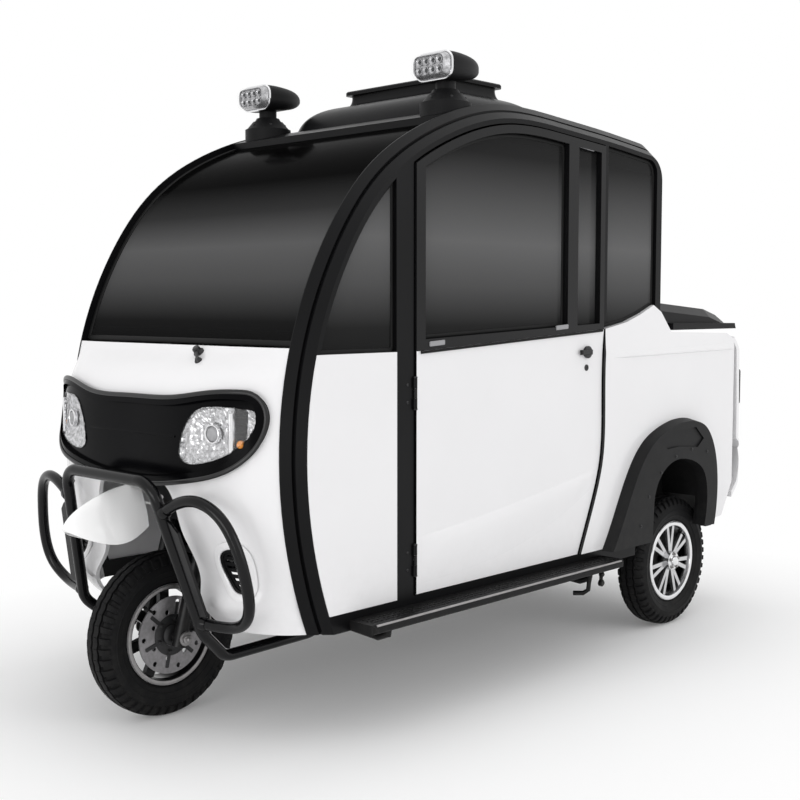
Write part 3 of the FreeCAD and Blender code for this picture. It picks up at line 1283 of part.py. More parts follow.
def build():
    os.makedirs("parts", exist_ok=True)
    save("chassis_frame", [chassis_frame()])
    save("floor_pan", [floor_pan()])
    save("nose_panel", [nose_panel()])
    save("lamp_band", [lamp_band()])
    save("headlamps", both(headlamp()))
    save("nose_vents", both(nose_vent()))
    save("windscreen", [windscreen()])
    frame = side_frame()
    save("side_frame_left", [frame])
    save("side_frame_right", [mirrored(frame)])
    save("roof_panel", [roof_panel()])
    save("roof_cowl", [roof_cowl()])
    save("roof_lamps", both(roof_lamp_housing()))
    save("roof_lamp_lenses", both(roof_lamp_lens()))
    save("front_side_panels", both(front_side_panel()))
    save("quarter_glass", both(front_quarter_glass()) + both(rear_quarter_glass()))
    body = rear_body()
    save("rear_body_left", [body])
    save("rear_body_right", [mirrored(body)])
    save("cabin_rear_wall", [rear_wall()])
    save("rear_glass", [rear_glass()])
    save("bed_tub", [bed_tub()])
    save("bed_lid", [bed_lid()])
    save("tail_panel", [tail_panel()])
    save("tail_lamps", both(tail_lamp()))
    save("wheel_flares", both(wheel_flare()))
    save("running_boards", both(running_board()))
    save("guard_bar", [guard_bar()])
    save("dashboard", [dashboard()])
    save("driver_seat", [seat(210, 600, 1000, 1120)])
    bench = seat(CABIN_HALF_WIDTH - 40, CABIN_REAR_Y - 470, CABIN_REAR_Y - 90, 1110)
    save("rear_bench", [bench.cut(wheel_well()).cut(mirrored(wheel_well()))])
    save("battery_box", [battery_box()])
    save("rear_axle", [rear_axle()])
    save("leaf_springs", both(leaf_spring()))
    door = door_panel()
    save("door_left", [door])
    save("door_right", [mirrored(door)])
    panes = door_glass()
    save("door_glass_left", panes)
    save("door_glass_right", [mirrored(pane) for pane in panes])
    save("front_fork", [front_fork()])
    save("handlebar", [handlebar()])
    save("front_mudguard", [front_mudguard()])
    save("front_tyre", [placed(tyre(FRONT_TYRE_WIDTH), 0, 0)])
    front_rim = rim(FRONT_TYRE_WIDTH, 8, 0, FRONT_AXLE_RADIUS + SEAT_GAP, 15)
    front_rim = front_rim.fuse(brake_disc()).removeSplitter()
    save("front_rim", [placed(front_rim, 0, 0)])
    rear = tyre(REAR_TYRE_WIDTH)
    rear_rim = rim(REAR_TYRE_WIDTH, 34, 8.5, REAR_STUB_RADIUS + SEAT_GAP, 7)
    save("rear_tyre_left", [placed(rear, REAR_WHEEL_X, REAR_AXLE_Y)])
    save("rear_rim_left", [placed(rear_rim, REAR_WHEEL_X, REAR_AXLE_Y)])
    save("rear_tyre_right", [mirrored(placed(rear, REAR_WHEEL_X, REAR_AXLE_Y))])
    save("rear_rim_right", [mirrored(placed(rear_rim, REAR_WHEEL_X, REAR_AXLE_Y))])


build()
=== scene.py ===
import bpy
import bmesh
from math import atan2, cos, exp, pi, radians, sin
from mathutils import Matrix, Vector
from mathutils.bvhtree import BVHTree
from mathutils.geometry import delaunay_2d_cdt


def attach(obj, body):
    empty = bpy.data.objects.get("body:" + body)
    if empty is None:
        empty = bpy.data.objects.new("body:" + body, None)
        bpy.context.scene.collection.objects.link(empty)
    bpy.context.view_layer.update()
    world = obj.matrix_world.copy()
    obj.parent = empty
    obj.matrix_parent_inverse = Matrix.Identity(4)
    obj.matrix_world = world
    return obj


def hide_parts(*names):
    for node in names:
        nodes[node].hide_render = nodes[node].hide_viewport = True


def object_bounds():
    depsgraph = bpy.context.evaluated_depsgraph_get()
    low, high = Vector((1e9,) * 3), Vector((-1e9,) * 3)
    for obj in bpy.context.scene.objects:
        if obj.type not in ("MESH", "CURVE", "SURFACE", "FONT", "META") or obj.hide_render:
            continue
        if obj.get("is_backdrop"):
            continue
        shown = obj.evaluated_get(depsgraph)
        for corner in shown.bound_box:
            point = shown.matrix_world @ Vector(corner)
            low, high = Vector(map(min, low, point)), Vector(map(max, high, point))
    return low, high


# Enclosed electric auto rickshaw: looks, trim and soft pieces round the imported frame.
# Lengths are in metres.  Places are given from the front axle, +X to the vehicle's left
# and +Y to its rear; at() moves them into the frame, whose origin is at mid length.

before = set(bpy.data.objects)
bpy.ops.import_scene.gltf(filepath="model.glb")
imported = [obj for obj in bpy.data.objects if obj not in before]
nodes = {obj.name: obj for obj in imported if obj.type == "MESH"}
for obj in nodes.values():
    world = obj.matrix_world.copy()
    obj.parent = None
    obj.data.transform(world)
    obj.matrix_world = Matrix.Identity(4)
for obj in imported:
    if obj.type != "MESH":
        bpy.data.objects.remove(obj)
cad_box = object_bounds()
AXLE_Y = -0.996                             # front axle in the frame
REAR_AXLE_Y = 1.82                          # rear axle behind the front one
TYRE_R = 0.229
REAR_WHEEL_X = 0.476
RAKE = radians(16)                          # of the steering axis
DOOR_REAR = 1.347                           # rear edge of the doors above their slant
DOOR_FACE_X = 0.538
ROOF_LAMP_X, ROOF_LAMP_Y = 0.398, 0.732
RAIL_X = 0.25                               # frame rails and leaf springs
AXLE_BOLTS_Y = (1.788, 1.852)
WORLD_LIGHT = 0.87
FOCAL_PIXELS, PICTURE_PIXELS = 1225, 800    # of the photo's view
SIDES = (("left", 1), ("right", -1))
BODY_WHITE = (0.83, 0.825, 0.835)
SHUT_BLACK = (0.006, 0.006, 0.0065)
X, Y, Z = Vector((1, 0, 0)), Vector((0, 1, 0)), Vector((0, 0, 1))


def at(x, y, z):
    return Vector((x, y + AXLE_Y, z))


def path(side, *points):
    return [at(side * x, y, z) for x, y, z in points]


def new_object(name, data):
    made = bpy.data.objects.new(name, data)
    bpy.context.scene.collection.objects.link(made)
    return made


# Materials

class Web:
    """Node tree of a material or world, with short ways to add to it."""

    def __init__(self, owner):
        owner.use_nodes = True
        self.tree = owner.node_tree
        self.nodes = self.tree.nodes

    def new(self, kind, **values):
        made = self.nodes.new("ShaderNode" + kind)
        for key, value in values.items():
            if hasattr(made, key):
                setattr(made, key, value)
            else:
                made.inputs[key.replace("_", " ")].default_value = value
        return made

    def fill(self, socket, value):
        """Gives a socket a number, a colour or another node's output."""
        if isinstance(value, (int, float)):
            socket.default_value = value
        elif isinstance(value, tuple):
            socket.default_value = (*value, 1.0)
        else:
            self.tree.links.new(value, socket)

    def coords(self, kind="Object"):
        return self.new("TexCoord").outputs[kind]

    def axis(self, letter, kind="Object"):
        made = self.new("SeparateXYZ")
        self.fill(made.inputs[0], self.coords(kind))
        return made.outputs[letter]

    def noise(self, scale, detail=4.0, rough=0.55):
        made = self.new("TexNoise", Scale=scale, Detail=detail, Roughness=rough)
        self.fill(made.inputs["Vector"], self.coords())
        return made.outputs["Fac"]

    def remap(self, value, low, high, out_low=0.0, out_high=1.0):
        made = self.new("MapRange", From_Min=low, From_Max=high, To_Min=out_low, To_Max=out_high)
        self.fill(made.inputs["Value"], value)
        return made.outputs["Result"]

    def calc(self, operation, a, b=0.0):
        made = self.new("Math", operation=operation)
        self.fill(made.inputs[0], a)
        self.fill(made.inputs[1], b)
        return made.outputs["Value"]

    def size(self, a):
        return self.calc("ABSOLUTE", a)

    def over(self, a, b):
        return self.calc("GREATER_THAN", a, b)

    def times(self, a, b):
        return self.calc("MULTIPLY", a, b)

    def length(self, a, b):
        return self.calc("SQRT", self.calc("ADD", self.times(a, a), self.times(b, b)))

    def mix(self, factor, a, b):
        made = self.new("Mix", data_type="RGBA")
        for number, value in ((0, factor), (6, a), (7, b)):
            self.fill(made.inputs[number], value)
        return made.outputs[2]

    def background_rays(self):
        """One for the rays that show the background: camera, glossy and transmission rays."""
        path = self.new("LightPath").outputs
        seen = self.calc("MAXIMUM", path["Is Camera Ray"], path["Is Glossy Ray"])
        return self.calc("MAXIMUM", seen, path["Is Transmission Ray"])


def surface(slot, name, colour, rough, vary=0.06, vary_scale=3.0, grain=0, grain_scale=600.0, shine=0.5,
        metal=0.0, rough_vary=0.06, dirt=0.0, dirt_top=0.55, paint=None, **sockets):
    """Principled material whose colour, gloss and grain (in micrometres) come from noise in object space."""
    made = bpy.data.materials.new(name)
    web = Web(made)
    shader = web.nodes["Principled BSDF"].inputs
    for key, value in dict(sockets, Specular_IOR_Level=shine, Metallic=metal).items():
        shader[key.replace("_", " ")].default_value = value
    dark = tuple(max(0, c * (1 - vary)) for c in colour)
    light = tuple(min(1.0, c * (1 + vary)) for c in colour)
    tint = web.mix(web.remap(web.noise(vary_scale), 0.3, 0.7), dark, light)
    if paint:
        tint = paint(web, tint)
    if dirt:
        low = web.remap(web.axis("Z"), 0.15, dirt_top, dirt, 0)
        specks = web.remap(web.noise(34.0, 8.0, 0.7), 0.42, 0.72)
        tint = web.mix(web.times(low, specks), tint, (0.15, 0.14, 0.12))
    web.fill(shader["Base Color"], tint)
    web.fill(shader["Roughness"], web.remap(web.noise(vary_scale * 6, 6.0), 0.25, 0.75, rough - rough_vary / 2,
        rough + rough_vary / 2))
    if grain:
        bump = web.new("Bump", Strength=1.0, Distance=1.0)
        web.fill(bump.inputs["Height"], web.times(web.noise(grain_scale, 3.0), grain / 1e6))
        web.fill(shader["Normal"], bump.outputs["Normal"])
    return made


def black_above_belt(web, tint):
    """White below the window sill line, black frame above it, and black painted shade on the door's shut faces.
    """
    sill = web.remap(web.axis("Y"), 0.471 + AXLE_Y, 1.316 + AXLE_Y, 1.014, 1.06)
    frame_part = web.calc("MAXIMUM", web.over(web.axis("Z"), sill), web.over(web.size(web.axis("X")), 0.5388))
    # Shut faces turn black as painted shade in the gaps round the door.
    shut_face_shade = web.over(web.size(web.axis("Y", "Normal")), 0.8)
    return web.mix(web.calc("MAXIMUM", frame_part, shut_face_shade), tint, SHUT_BLACK)


def tint_with_painted_reflection(stops):
    """Glass whose grey follows height from 1.0 to 1.8 m through a list of stops; a lighter band among them is
    painted reflection.
    """
    def paint(web, tint):
        ramp = web.new("ValToRGB")
        elements = ramp.color_ramp.elements
        elements[0].position, elements[1].position = stops[0][0], stops[-1][0]
        for place, _ in stops[1:-1]:
            elements.new(place)
        for element, (_, grey) in zip(elements, stops):
            element.color = (grey, grey, grey * 1.01, 1.0)
        web.fill(ramp.inputs["Fac"], web.remap(web.axis("Z"), 1.0, 1.8))
        return ramp.outputs["Color"]
    return paint


def forward_shut_face_shade(web, tint):
    """Black painted shade on shut faces that look forward, in the panel gaps."""
    return web.mix(web.calc("LESS_THAN", web.axis("Y", "Normal"), -0.8), tint, SHUT_BLACK)


def wheel_radius(web, axle_y):
    return web.length(web.calc("SUBTRACT", web.axis("Y"), axle_y), web.calc("SUBTRACT", web.axis("Z"), TYRE_R))


def front_rim_paint(web, tint):
    """Dark wheel with a bright lip and a ground disc on its left end."""
    radius, worn = wheel_radius(web, AXLE_Y), web.noise(90.0, 5.0)
    on_disc = web.times(web.over(web.axis("X"), 0.0368), web.calc("LESS_THAN", radius, 0.1095))
    bright = web.mix(worn, (0.36, 0.35, 0.36), (0.62, 0.61, 0.62))
    disc = web.mix(worn, (0.16, 0.155, 0.16), (0.36, 0.35, 0.36))
    return web.mix(on_disc, web.mix(web.over(radius, 0.129), tint, bright), disc)


def rear_rim_paint(web, tint):
    """Polished faces and lip, with the barrel behind them darkened by painted shade that deepens inwards."""
    radius = wheel_radius(web, REAR_AXLE_Y + AXLE_Y)
    # Painted shade: near black inside the wheel behind its faces.
    recess_shade = web.remap(web.size(web.axis("X")), 0.4925, 0.5055, 1.0, 0)
    return web.mix(web.times(recess_shade, web.calc("LESS_THAN", radius, 0.124)), tint, (0.02, 0.02, 0.022))


def body_paint(name, coat=0.4, shine=0.3, paint=None):
    return surface("white_body", name, BODY_WHITE, 0.24, 0.012, 3, 20, 420, shine, dirt=0.08, paint=paint,
        Coat_Weight=coat, Coat_Roughness=0.08)


# Dark foot, a lighter middle that is a painted reflection of the studio light, and a dark sun band at the top
SIDE_GLASS = ((0, 0.01), (0.1, 0.016), (0.24, 0.075), (0.4, 0.125), (0.55, 0.075), (0.72, 0.016), (1, 0.004))
SCREEN_GLASS = ((0, 0.006), (0.12, 0.012), (0.26, 0.07), (0.38, 0.1), (0.5, 0.032), (0.62, 0.003), (1, 0.0005))

# Slot, name, colour, roughness; then the colour's variation and its scale, grain and its scale, shine, metal
mat_white = body_paint("white_paint")
mat_door = body_paint("door_paint", 0.05, 0.2, black_above_belt)
# The rear body's forward shut faces get black painted shade.
mat_rear_body = body_paint("rear_body_paint", paint=forward_shut_face_shade)
# A paler white than the body: partly its own plastic, partly painted light making up for the shade the mudguard
# sits in.
mat_mudguard_painted_light = surface("white_body", "mudguard_paler_painted_light", (0.95, 0.95, 0.95), 0.16, 0.01, 3, 20, 420,
    Coat_Weight=0.5, Coat_Roughness=0.05)
mat_plate = surface("white_body", "blank_plate", (0.72, 0.72, 0.7), 0.35, 0.03, 3, 20)
mat_black = surface("black_paint", "black_gloss_paint", (0.0045, 0.0045, 0.005), 0.32, 0.25, 3, 20, 420, 0.13)
mat_band = surface("gloss_black", "black_lamp_band", (0.0015, 0.0015, 0.002), 0.2, 0.3, 3, 10, shine=0.05)
mat_band_rim = surface("gloss_black", "black_band_rim", (0.008, 0.008, 0.0085), 0.3, 0.2, 3, 30, shine=0.4)
mat_plastic = surface("black_plastic", "black_grained_plastic", SHUT_BLACK, 0.5, 0.2, 3, 80, 900, 0.15,
    dirt=0.08)
mat_flare = surface("black_plastic", "grey_grained_plastic", (0.008, 0.008, 0.0085), 0.55, 0.18, 3, 100, 800,
    0.2, dirt=0.08, dirt_top=0.7)
mat_grey = surface("black_plastic", "grey_trim", (0.3, 0.3, 0.31), 0.4, 0.06, 3, 30)
mat_screen = surface("black_plastic", "instrument_glass", (0.008, 0.01, 0.012), 0.06, 0.2, 3, 5)
mat_steel = surface("black_steel", "black_chassis_paint", (0.005, 0.005, 0.0055), 0.32, 0.3, 3, 30, 300, 0.2,
    dirt=0.12, dirt_top=0.45)
mat_bar = surface("black_steel", "black_bar_enamel", (0.0035, 0.0035, 0.004), 0.2, 0.3, 3, 20, 260, 0.24)
mat_under = surface("black_steel", "underside_paint", (0.018, 0.018, 0.019), 0.55, 0.3, 3, 80, 200, 0.3,
    dirt=0.35, dirt_top=0.6)
mat_zinc = surface("black_steel", "zinc_bolts", (0.34, 0.33, 0.33), 0.36, 0.12, 40, 20, metal=0.9)
mat_dark_bolt = surface("black_steel", "black_bolts", (0.03, 0.03, 0.031), 0.35, 0.2, 40, 20, metal=0.5)
# Both glass greys hold the painted reflection band of the stops above.
mat_glass = surface("dark_glass", "glass_with_painted_reflection", (0.05, 0.05, 0.05), 0.1, 0.05, shine=0.05, rough_vary=0.02,
    paint=tint_with_painted_reflection(SIDE_GLASS), Alpha=0.97)
mat_screen_glass = surface("dark_glass", "windscreen_with_painted_reflection", (0.05, 0.05, 0.05), 0.12, 0.05, shine=0.001,
    rough_vary=0.02, paint=tint_with_painted_reflection(SCREEN_GLASS), Alpha=0.97)
mat_tyre = surface("tyre_rubber", "tyre_rubber", (0.0045, 0.0045, 0.005), 0.6, 0.25, 3, 50, 700, 0.15,
    dirt=0.06, dirt_top=0.46)
mat_rubber = surface("tyre_rubber", "seal_rubber", (0.006, 0.006, 0.006), 0.58, 0.2, 3, 30, shine=0.18)
mat_alloy = surface("alloy", "polished_alloy", (0.6, 0.6, 0.61), 0.18, 0.08, 30, metal=0.9, dirt=0.05,
    paint=rear_rim_paint)
mat_front_rim = surface("alloy", "front_wheel_finish", (0.012, 0.012, 0.013), 0.3, 0.2, 30, 20, metal=0.55,
    paint=front_rim_paint)
mat_chrome = surface("alloy", "chrome", (0.8, 0.8, 0.81), 0.12, 0.03, metal=1.0, rough_vary=0.03)
mat_red = surface("lamp_red", "red_lamp", (0.42, 0.012, 0.014), 0.12, 0.08, 3, 10, Coat_Weight=0.3)
mat_amber = surface("lamp_clear", "amber_lamp", (0.72, 0.26, 0.03), 0.15, 0.08, 3, 10, Coat_Weight=0.3)
mat_reflector = surface("lamp_clear", "lamp_reflector", (0.52, 0.52, 0.53), 0.18, 0.45, 95, 180, 220,
    metal=0.85)
mat_roof_reflector = surface("lamp_clear", "roof_lamp_reflector", (0.42, 0.42, 0.43), 0.28, 0.35, 90, 120, 260,
    metal=0.7)
mat_lens = surface("lamp_clear", "clear_lens", (0.9, 0.905, 0.91), 0.05, 0.01, shine=0.8, rough_vary=0.02,
    Alpha=0.035)
mat_seat = surface("seat_cover", "seat_leatherette", (0.022, 0.021, 0.022), 0.46, 0.2, 9, 300, 260, 0.35)
mat_thread = surface("seat_cover", "seat_piping", (0.2, 0.2, 0.21), 0.5, 0.1, 60, 100)

LOOK = {
    mat_white: "nose_panel front_side_panels tail_panel",
    mat_mudguard_painted_light: "front_mudguard",
    mat_rear_body: "rear_body_left rear_body_right",
    mat_door: "door_left door_right",
    mat_black: "side_frame_left side_frame_right roof_panel cabin_rear_wall bed_lid roof_cowl",
    mat_band: "lamp_band",
    mat_lens: "headlamps roof_lamp_lenses",
    mat_screen_glass: "windscreen",
    mat_glass: "quarter_glass rear_glass door_glass_left door_glass_right",
    mat_plastic: "nose_vents roof_lamps running_boards bed_tub dashboard",
    mat_flare: "wheel_flares",
    mat_red: "tail_lamps",
    mat_seat: "driver_seat rear_bench",
    mat_bar: "guard_bar",
    mat_steel: "front_fork handlebar",
    mat_under: "chassis_frame floor_pan rear_axle leaf_springs battery_box",
    mat_tyre: "front_tyre rear_tyre_left rear_tyre_right",
    mat_front_rim: "front_rim",
    mat_alloy: "rear_rim_left rear_rim_right"}
for made, names in LOOK.items():
    for name in names.split():
        nodes[name].data.materials.clear()
        nodes[name].data.materials.append(made)


# Mesh helpers

def mm(*sizes):
    """Pairs of sizes that are given in millimetres."""
    return [(a / 1000, b / 1000) for a, b in zip(sizes[::2], sizes[1::2])]


class Shape:
    """Mesh of one piece, gathered part by part."""

    def __init__(self):
        self.verts, self.faces, self.slots = [], [], []

    def add(self, verts, faces, slot=0):
        start = len(self.verts)
        self.verts += [tuple(v) for v in verts]
        self.faces += [tuple(start + i for i in f) for f in faces]
        self.slots += [slot] * len(faces)

    def grid(self, rows, along=False, caps=False, slot=0):
        """Quads between closed rows of points; along joins the last row to the first."""
        n, count = len(rows[0]), len(rows)
        faces = []
        for i in range(count if along else count - 1):
            k = (i + 1) % count
            for j in range(n):
                m = (j + 1) % n
                faces.append((i * n + j, i * n + m, k * n + m, k * n + j))
        if caps:
            faces += [tuple(reversed(range(n))), tuple((count - 1) * n + j for j in range(n))]
        self.add([p for row in rows for p in row], faces, slot)


def redo_mesh(mesh, work_on, smooth):
    """Works on a mesh, then shades it smooth up to an angle."""
    work = bmesh.new()
    work.from_mesh(mesh)
    work_on(work)
    work.to_mesh(mesh)
    work.free()
    mesh.shade_smooth()
    mesh.set_sharp_from_angle(angle=radians(smooth))


def make(name, shape, materials, body="chassis", replaced=(), smooth=34):
    """Object of a shape with its materials, riding on a body; it hides the nodes it replaces."""
    materials = materials if isinstance(materials, list) else [materials]
    mesh = bpy.data.meshes.new(name)
    mesh.from_pydata(shape.verts, [], shape.faces)
    for each in materials:
        mesh.materials.append(each)
    mesh.polygons.foreach_set("material_index", shape.slots)
    redo_mesh(mesh, lambda work: bmesh.ops.recalc_face_normals(work, faces=work.faces), smooth)
    made = new_object(name, mesh)
    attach(made, body)
    if replaced:
        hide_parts(*replaced)
    return made


def ring_points(centre, axis, radius, sides, side=None, turn=0):
    """Points of a circle round an axis; the first one lies towards side, or turned from it."""
    axis = Vector(axis).normalized()
    side = (side - axis * side.dot(axis)).normalized() if side else axis.orthogonal().normalized()
    up = axis.cross(side)
    return [centre + (side * cos(turn + 2 * pi * i / sides) + up * sin(turn + 2 * pi * i / sides)) * radius
        for i in range(sides)]


def lathe(shape, centre, axis, profile, sides=32, slot=0):
    """Turned form: profile holds (radius, distance along the axis)."""
    axis = Vector(axis).normalized()
    rows = [ring_points(centre + axis * h, axis, max(r, 0.0002), sides) for r, h in profile]
    shape.grid(rows, caps=True, slot=slot)


def ring_lathe(shape, centre, out, profile, sides=96):
    """Turned ring whose profile is a closed (radius, distance) outline."""
    shape.grid([ring_points(centre + out * h, out, r, sides) for r, h in profile], along=True)


def bolt(shape, place, out, radius=0.006, height=0.006):
    """Hexagon head on its washer."""
    lathe(shape, place, out, [(radius * 1.5, -0.001), (radius * 1.5, height * 0.2),
        (radius * 1.35, height * 0.28)], 18)
    lathe(shape, place, out, [(radius, height * 0.2), (radius * 1.1, height * 0.3),
        (radius * 1.1, height * 0.85), (radius * 0.85, height)], 6)


def screw(shape, place, out, radius=0.005):
    """Domed screw head with a recess."""
    lathe(shape, place, out, [(radius, -0.001), (radius, radius * 0.15), (radius * 0.75, radius * 0.45),
        (radius * 0.4, radius * 0.55), (radius * 0.28, radius * 0.2)], 16)


def frames(path, closed=False, normals=None):
    """Across and up directions of each point of a path."""
    made, count, up = [], len(path), None
    for i, p in enumerate(path):
        before = path[i - 1] if closed or i else p
        after = path[(i + 1) % count] if closed or i < count - 1 else p
        tangent = (after - before).normalized()
        up = normals[i] if normals else (up if up else tangent.orthogonal())
        up = (up - tangent * up.dot(tangent)).normalized()
        made.append((tangent.cross(up), up))
    return made


def tube(shape, path, radius, sides=12, closed=False):
    turns = [2 * pi * k / sides for k in range(sides)]
    rows = [[p + (across * cos(a) + up * sin(a)) * radius for a in turns] for p,
        (across, up) in zip(path, frames(path, closed))]
    shape.grid(rows, along=closed, caps=not closed)


# Section of a strip: (share of the width, share of the height)
DOME = [(-0.5, -0.1), (-0.5, 0.5), (-0.36, 0.85), (-0.15, 1.0), (0.15, 1.0), (0.36, 0.85), (0.5, 0.5),
    (0.5, -0.1)]


def ribbon(shape, path, normals, width, height, closed=False, shift=0.0, slot=0):
    """Strip along a path that stands up from a surface; shift moves it across the path."""
    if isinstance(normals, Vector):
        normals = [normals] * len(path)
    rows = [[p + across * (a * width + shift) + up * (h * height) for a, h in DOME] for p,
        (across, up) in zip(path, frames(path, closed, normals))]
    shape.grid(rows, along=closed, caps=not closed, slot=slot)


def corner_ring(a, b, corner, steps):
    """Outline of a rectangle with round corners whose centres are at a and b."""
    made = []
    for k, (sx, sy) in enumerate(((1, 1), (-1, 1), (-1, -1), (1, -1))):
        for i in range(steps + 1):
            turn = pi / 2 * (k + i / steps)
            made.append((sx * a + corner * cos(turn), sy * b + corner * sin(turn)))
    return made


def rounded(shape, centre, u, v, half_u, half_v, corner, levels, slot=0, steps=5):
    """Block with rounded corners: levels are (height along u x v, inset)."""
    u, v = Vector(u).normalized(), Vector(v).normalized()
    n = u.cross(v)
    rows = []
    for height, inset in levels:
        c = max(corner - inset, 0.0004)
        rows.append([centre + u * p + v * q + n * height for p, q in corner_ring(half_u - inset - c,
            half_v - inset - c, c, steps)])
    shape.grid(rows, caps=True, slot=slot)


def block(shape, low, high, corner=0.004, soft=0.002):
    """Upright box between two opposite corners, with rounded edges."""
    half = Vector(abs(c) for c in (high - low) / 2)
    levels = [(-half.z, soft), (-half.z + soft, 0), (half.z - soft, 0), (half.z, soft)]
    rounded(shape, (low + high) / 2, X, Y, half.x, half.y, corner, levels)


def surface_of(name):
    mesh = nodes[name].data
    return BVHTree.FromPolygons([v.co for v in mesh.vertices], [tuple(p.vertices) for p in mesh.polygons])


def traced(tree, starts, way):
    """Points and normals where lines from the starts meet a surface."""
    hits = [tree.ray_cast(start, way)[:2] for start in starts]
    hits = [hit for hit in hits if hit[0]]
    return [hit[0] for hit in hits], [hit[1] for hit in hits]


def front_hit(tree, x, z):
    """Point and normal of a surface seen from the front at (x, z)."""
    return tree.ray_cast(Vector((x, -3.0, z)), Y)[:2]


def outlines(name, direction, limit=0.4):
    """Closed edges round the faces of a node that look along a direction, with their normals."""
    mesh = nodes[name].data
    spots, edges, ends, normals = {}, {}, {}, {}

    def spot(index):
        co = mesh.vertices[index].co
        return spots.setdefault(tuple(round(c, 5) for c in co), (len(spots), co.copy()))[0]

    for face in mesh.polygons:
        if face.normal.dot(direction) < limit:
            continue
        loop = [spot(i) for i in face.vertices]
        for a, b in zip(loop, loop[1:] + loop[:1]):
            edges[(a, b)] = face.normal.copy()
    for (a, b), normal in edges.items():
        if a != b and (b, a) not in edges:
            ends[a] = b
            normals[a] = normal
    points = dict(spots.values())
    loops = []
    while ends:
        loop = list(ends.popitem())
        while loop[-1] in ends:
            loop.append(ends.pop(loop[-1]))
        if loop[-1] == loop[0] and len(loop) > 8:
            loops.append(([points[i] for i in loop[:-1]], [normals[i] for i in loop[:-1]]))
    return sorted(loops, key=lambda item: -len(item[0]))


def resample(points, normals, step):
    """Evenly spaced points along a closed outline."""
    made, made_normals, carry = [], [], 0.0
    for i, a in enumerate(points):
        after = (i + 1) % len(points)
        length = (points[after] - a).length
        while carry < length:
            share = carry / length
            made.append(a.lerp(points[after], share))
            made_normals.append(normals[i].lerp(normals[after], share).normalized())
            carry += step
        carry -= length
    return made, made_normals


# Wheels

def tyre_section(half):
    """Half section from crown to bead: returns a function of the share of its length."""
    knots = [(-0.45, 0.228), (0, 0.229), (0.45, 0.228), (0.76, 0.2215), (0.92, 0.2085), (1.0, 0.186),
        (0.88, 0.161), (0.66, 0.143), (0.4, 0.13)]
    knots = [Vector((x * half, r, 0)) for x, r in knots]
    line = []
    for a, b, c, d in zip(knots, knots[1:], knots[2:], knots[3:]):
        for i in range(24):
            t = i / 24
            line.append(0.5 * ((2 * b) + (c - a) * t + (2 * a - 5 * b + 4 * c - d) * t * t
                + (3 * b - a - 3 * c + d) * t ** 3))
    line.append(knots[-2])
    lengths = [0]
    for a, b in zip(line, line[1:]):
        lengths.append(lengths[-1] + (b - a).length)

    def place(share):
        wanted = min(max(share, 0), 1.0) * lengths[-1]
        i = max(k for k in range(len(line) - 1) if lengths[k] <= wanted)
        a, b = line[i], line[i + 1]
        t = (wanted - lengths[i]) / (lengths[i + 1] - lengths[i])
        along = (b - a).normalized()
        return a.lerp(b, t), Vector((-along.y, along.x, 0))

    return place


def around_wheel(centre, radius, turn):
    return centre + Vector((0, radius * cos(turn), radius * sin(turn)))


# Share of the half section, tread height, depth of the cross grooves there, and zigzag
TREAD_COLUMNS = [(0, -6, 0, 0), (0.028, -6, 0, 1), (0.036, 0, 0, 1), (0.11, 0, 2.5, 0), (0.182, 0, 0, 1),
    (0.19, -6, 0, 1), (0.226, -6, 0, 1), (0.234, 0, 0, 1), (0.262, 0, 6, 0), (0.33, 0, 6, 0), (0.4, 0, 6, 0),
    (0.445, 0, 6, 0), (0.48, 0, 5, 0), (0.5, -0.4, 3, 0), (0.51, -2.2, 0.6, 0), (0.56, -1.6, 0, 0),
    (0.61, -0.6, 0, 0), (0.65, 0, 0, 0), (0.656, 0.9, 0, 0), (0.672, 0.9, 0, 0), (0.678, 0, 0, 0),
    (0.76, 0, 0, 0), (0.8, 0, 0, 0), (0.806, 0.7, 0, 0), (0.818, 0.7, 0, 0), (0.824, 0, 0, 0), (0.89, 0, 0, 0),
    (0.915, 1.8, 0, 0), (0.95, 1.8, 0, 0), (0.97, 0, 0, 0), (1.0, 0, 0, 0)]
INNER_RADIUS = 0.1335
PITCHES = 46
PITCH_STEPS = (0, 0.04, 0.25, 0.46, 0.5, 0.56, 0.75, 0.94)


def tyre(name, replaced, x, y, half, body):
    """Whole tyre with tread blocks and side rings; half is half its width."""
    place = tyre_section(half)
    shape, rows = Shape(), []
    for pitch in range(PITCHES):
        for step in PITCH_STEPS:
            row = []
            for side in (1, -1):
                t = step if side > 0 else (step + 0.5) % 1.0
                wave = 1.0 - 4.0 * abs(t - 0.5)
                half_row = []
                for u, height, cross, zig in TREAD_COLUMNS:
                    spot, out = place(u + 0.014 * wave * zig)
                    groove = t > 0.53 if cross > 2.9 or 0.25 < u < 0.52 else t < 0.01
                    spot = spot + out * ((height - (cross if groove else 0)) * 0.001)
                    skew = 0.35 * max(0, min(u, 0.56) - 0.23) * side
                    turn = 2 * pi * (pitch + step + skew) / PITCHES
                    half_row.append(around_wheel(Vector((x + side * spot.x, y, TYRE_R)), spot.y, turn))
                row += half_row[::-1] if side > 0 else half_row[1:]
            turn = 2 * pi * (pitch + step) / PITCHES
            row += [around_wheel(Vector((x + side * half * 0.64, y, TYRE_R)), INNER_RADIUS, turn)
                for side in (-1, 1)]
            rows.append(row)
    shape.grid(rows, along=True)
    make(name, shape, mat_tyre, body=body, replaced=(replaced,), smooth=38)


def valve(name, centre, out, turn, foot, lean, stem, body):
    """Tyre valve that leans out of the rim."""
    spot = around_wheel(centre, 0.1215, turn) + out * foot
    way = around_wheel(Vector(), lean[0], turn) + out * lean[1]
    shape = Shape()
    lathe(shape, spot, way, [(0.0045, -0.006), (0.0045, 0.01), (0.0026, 0.014), (0.0026, stem),
        (0.0034, stem + 0.002), (0.0034, stem + 0.01), (0.002, stem + 0.012)], 14)
    make(name, shape, mat_rubber, body=body)


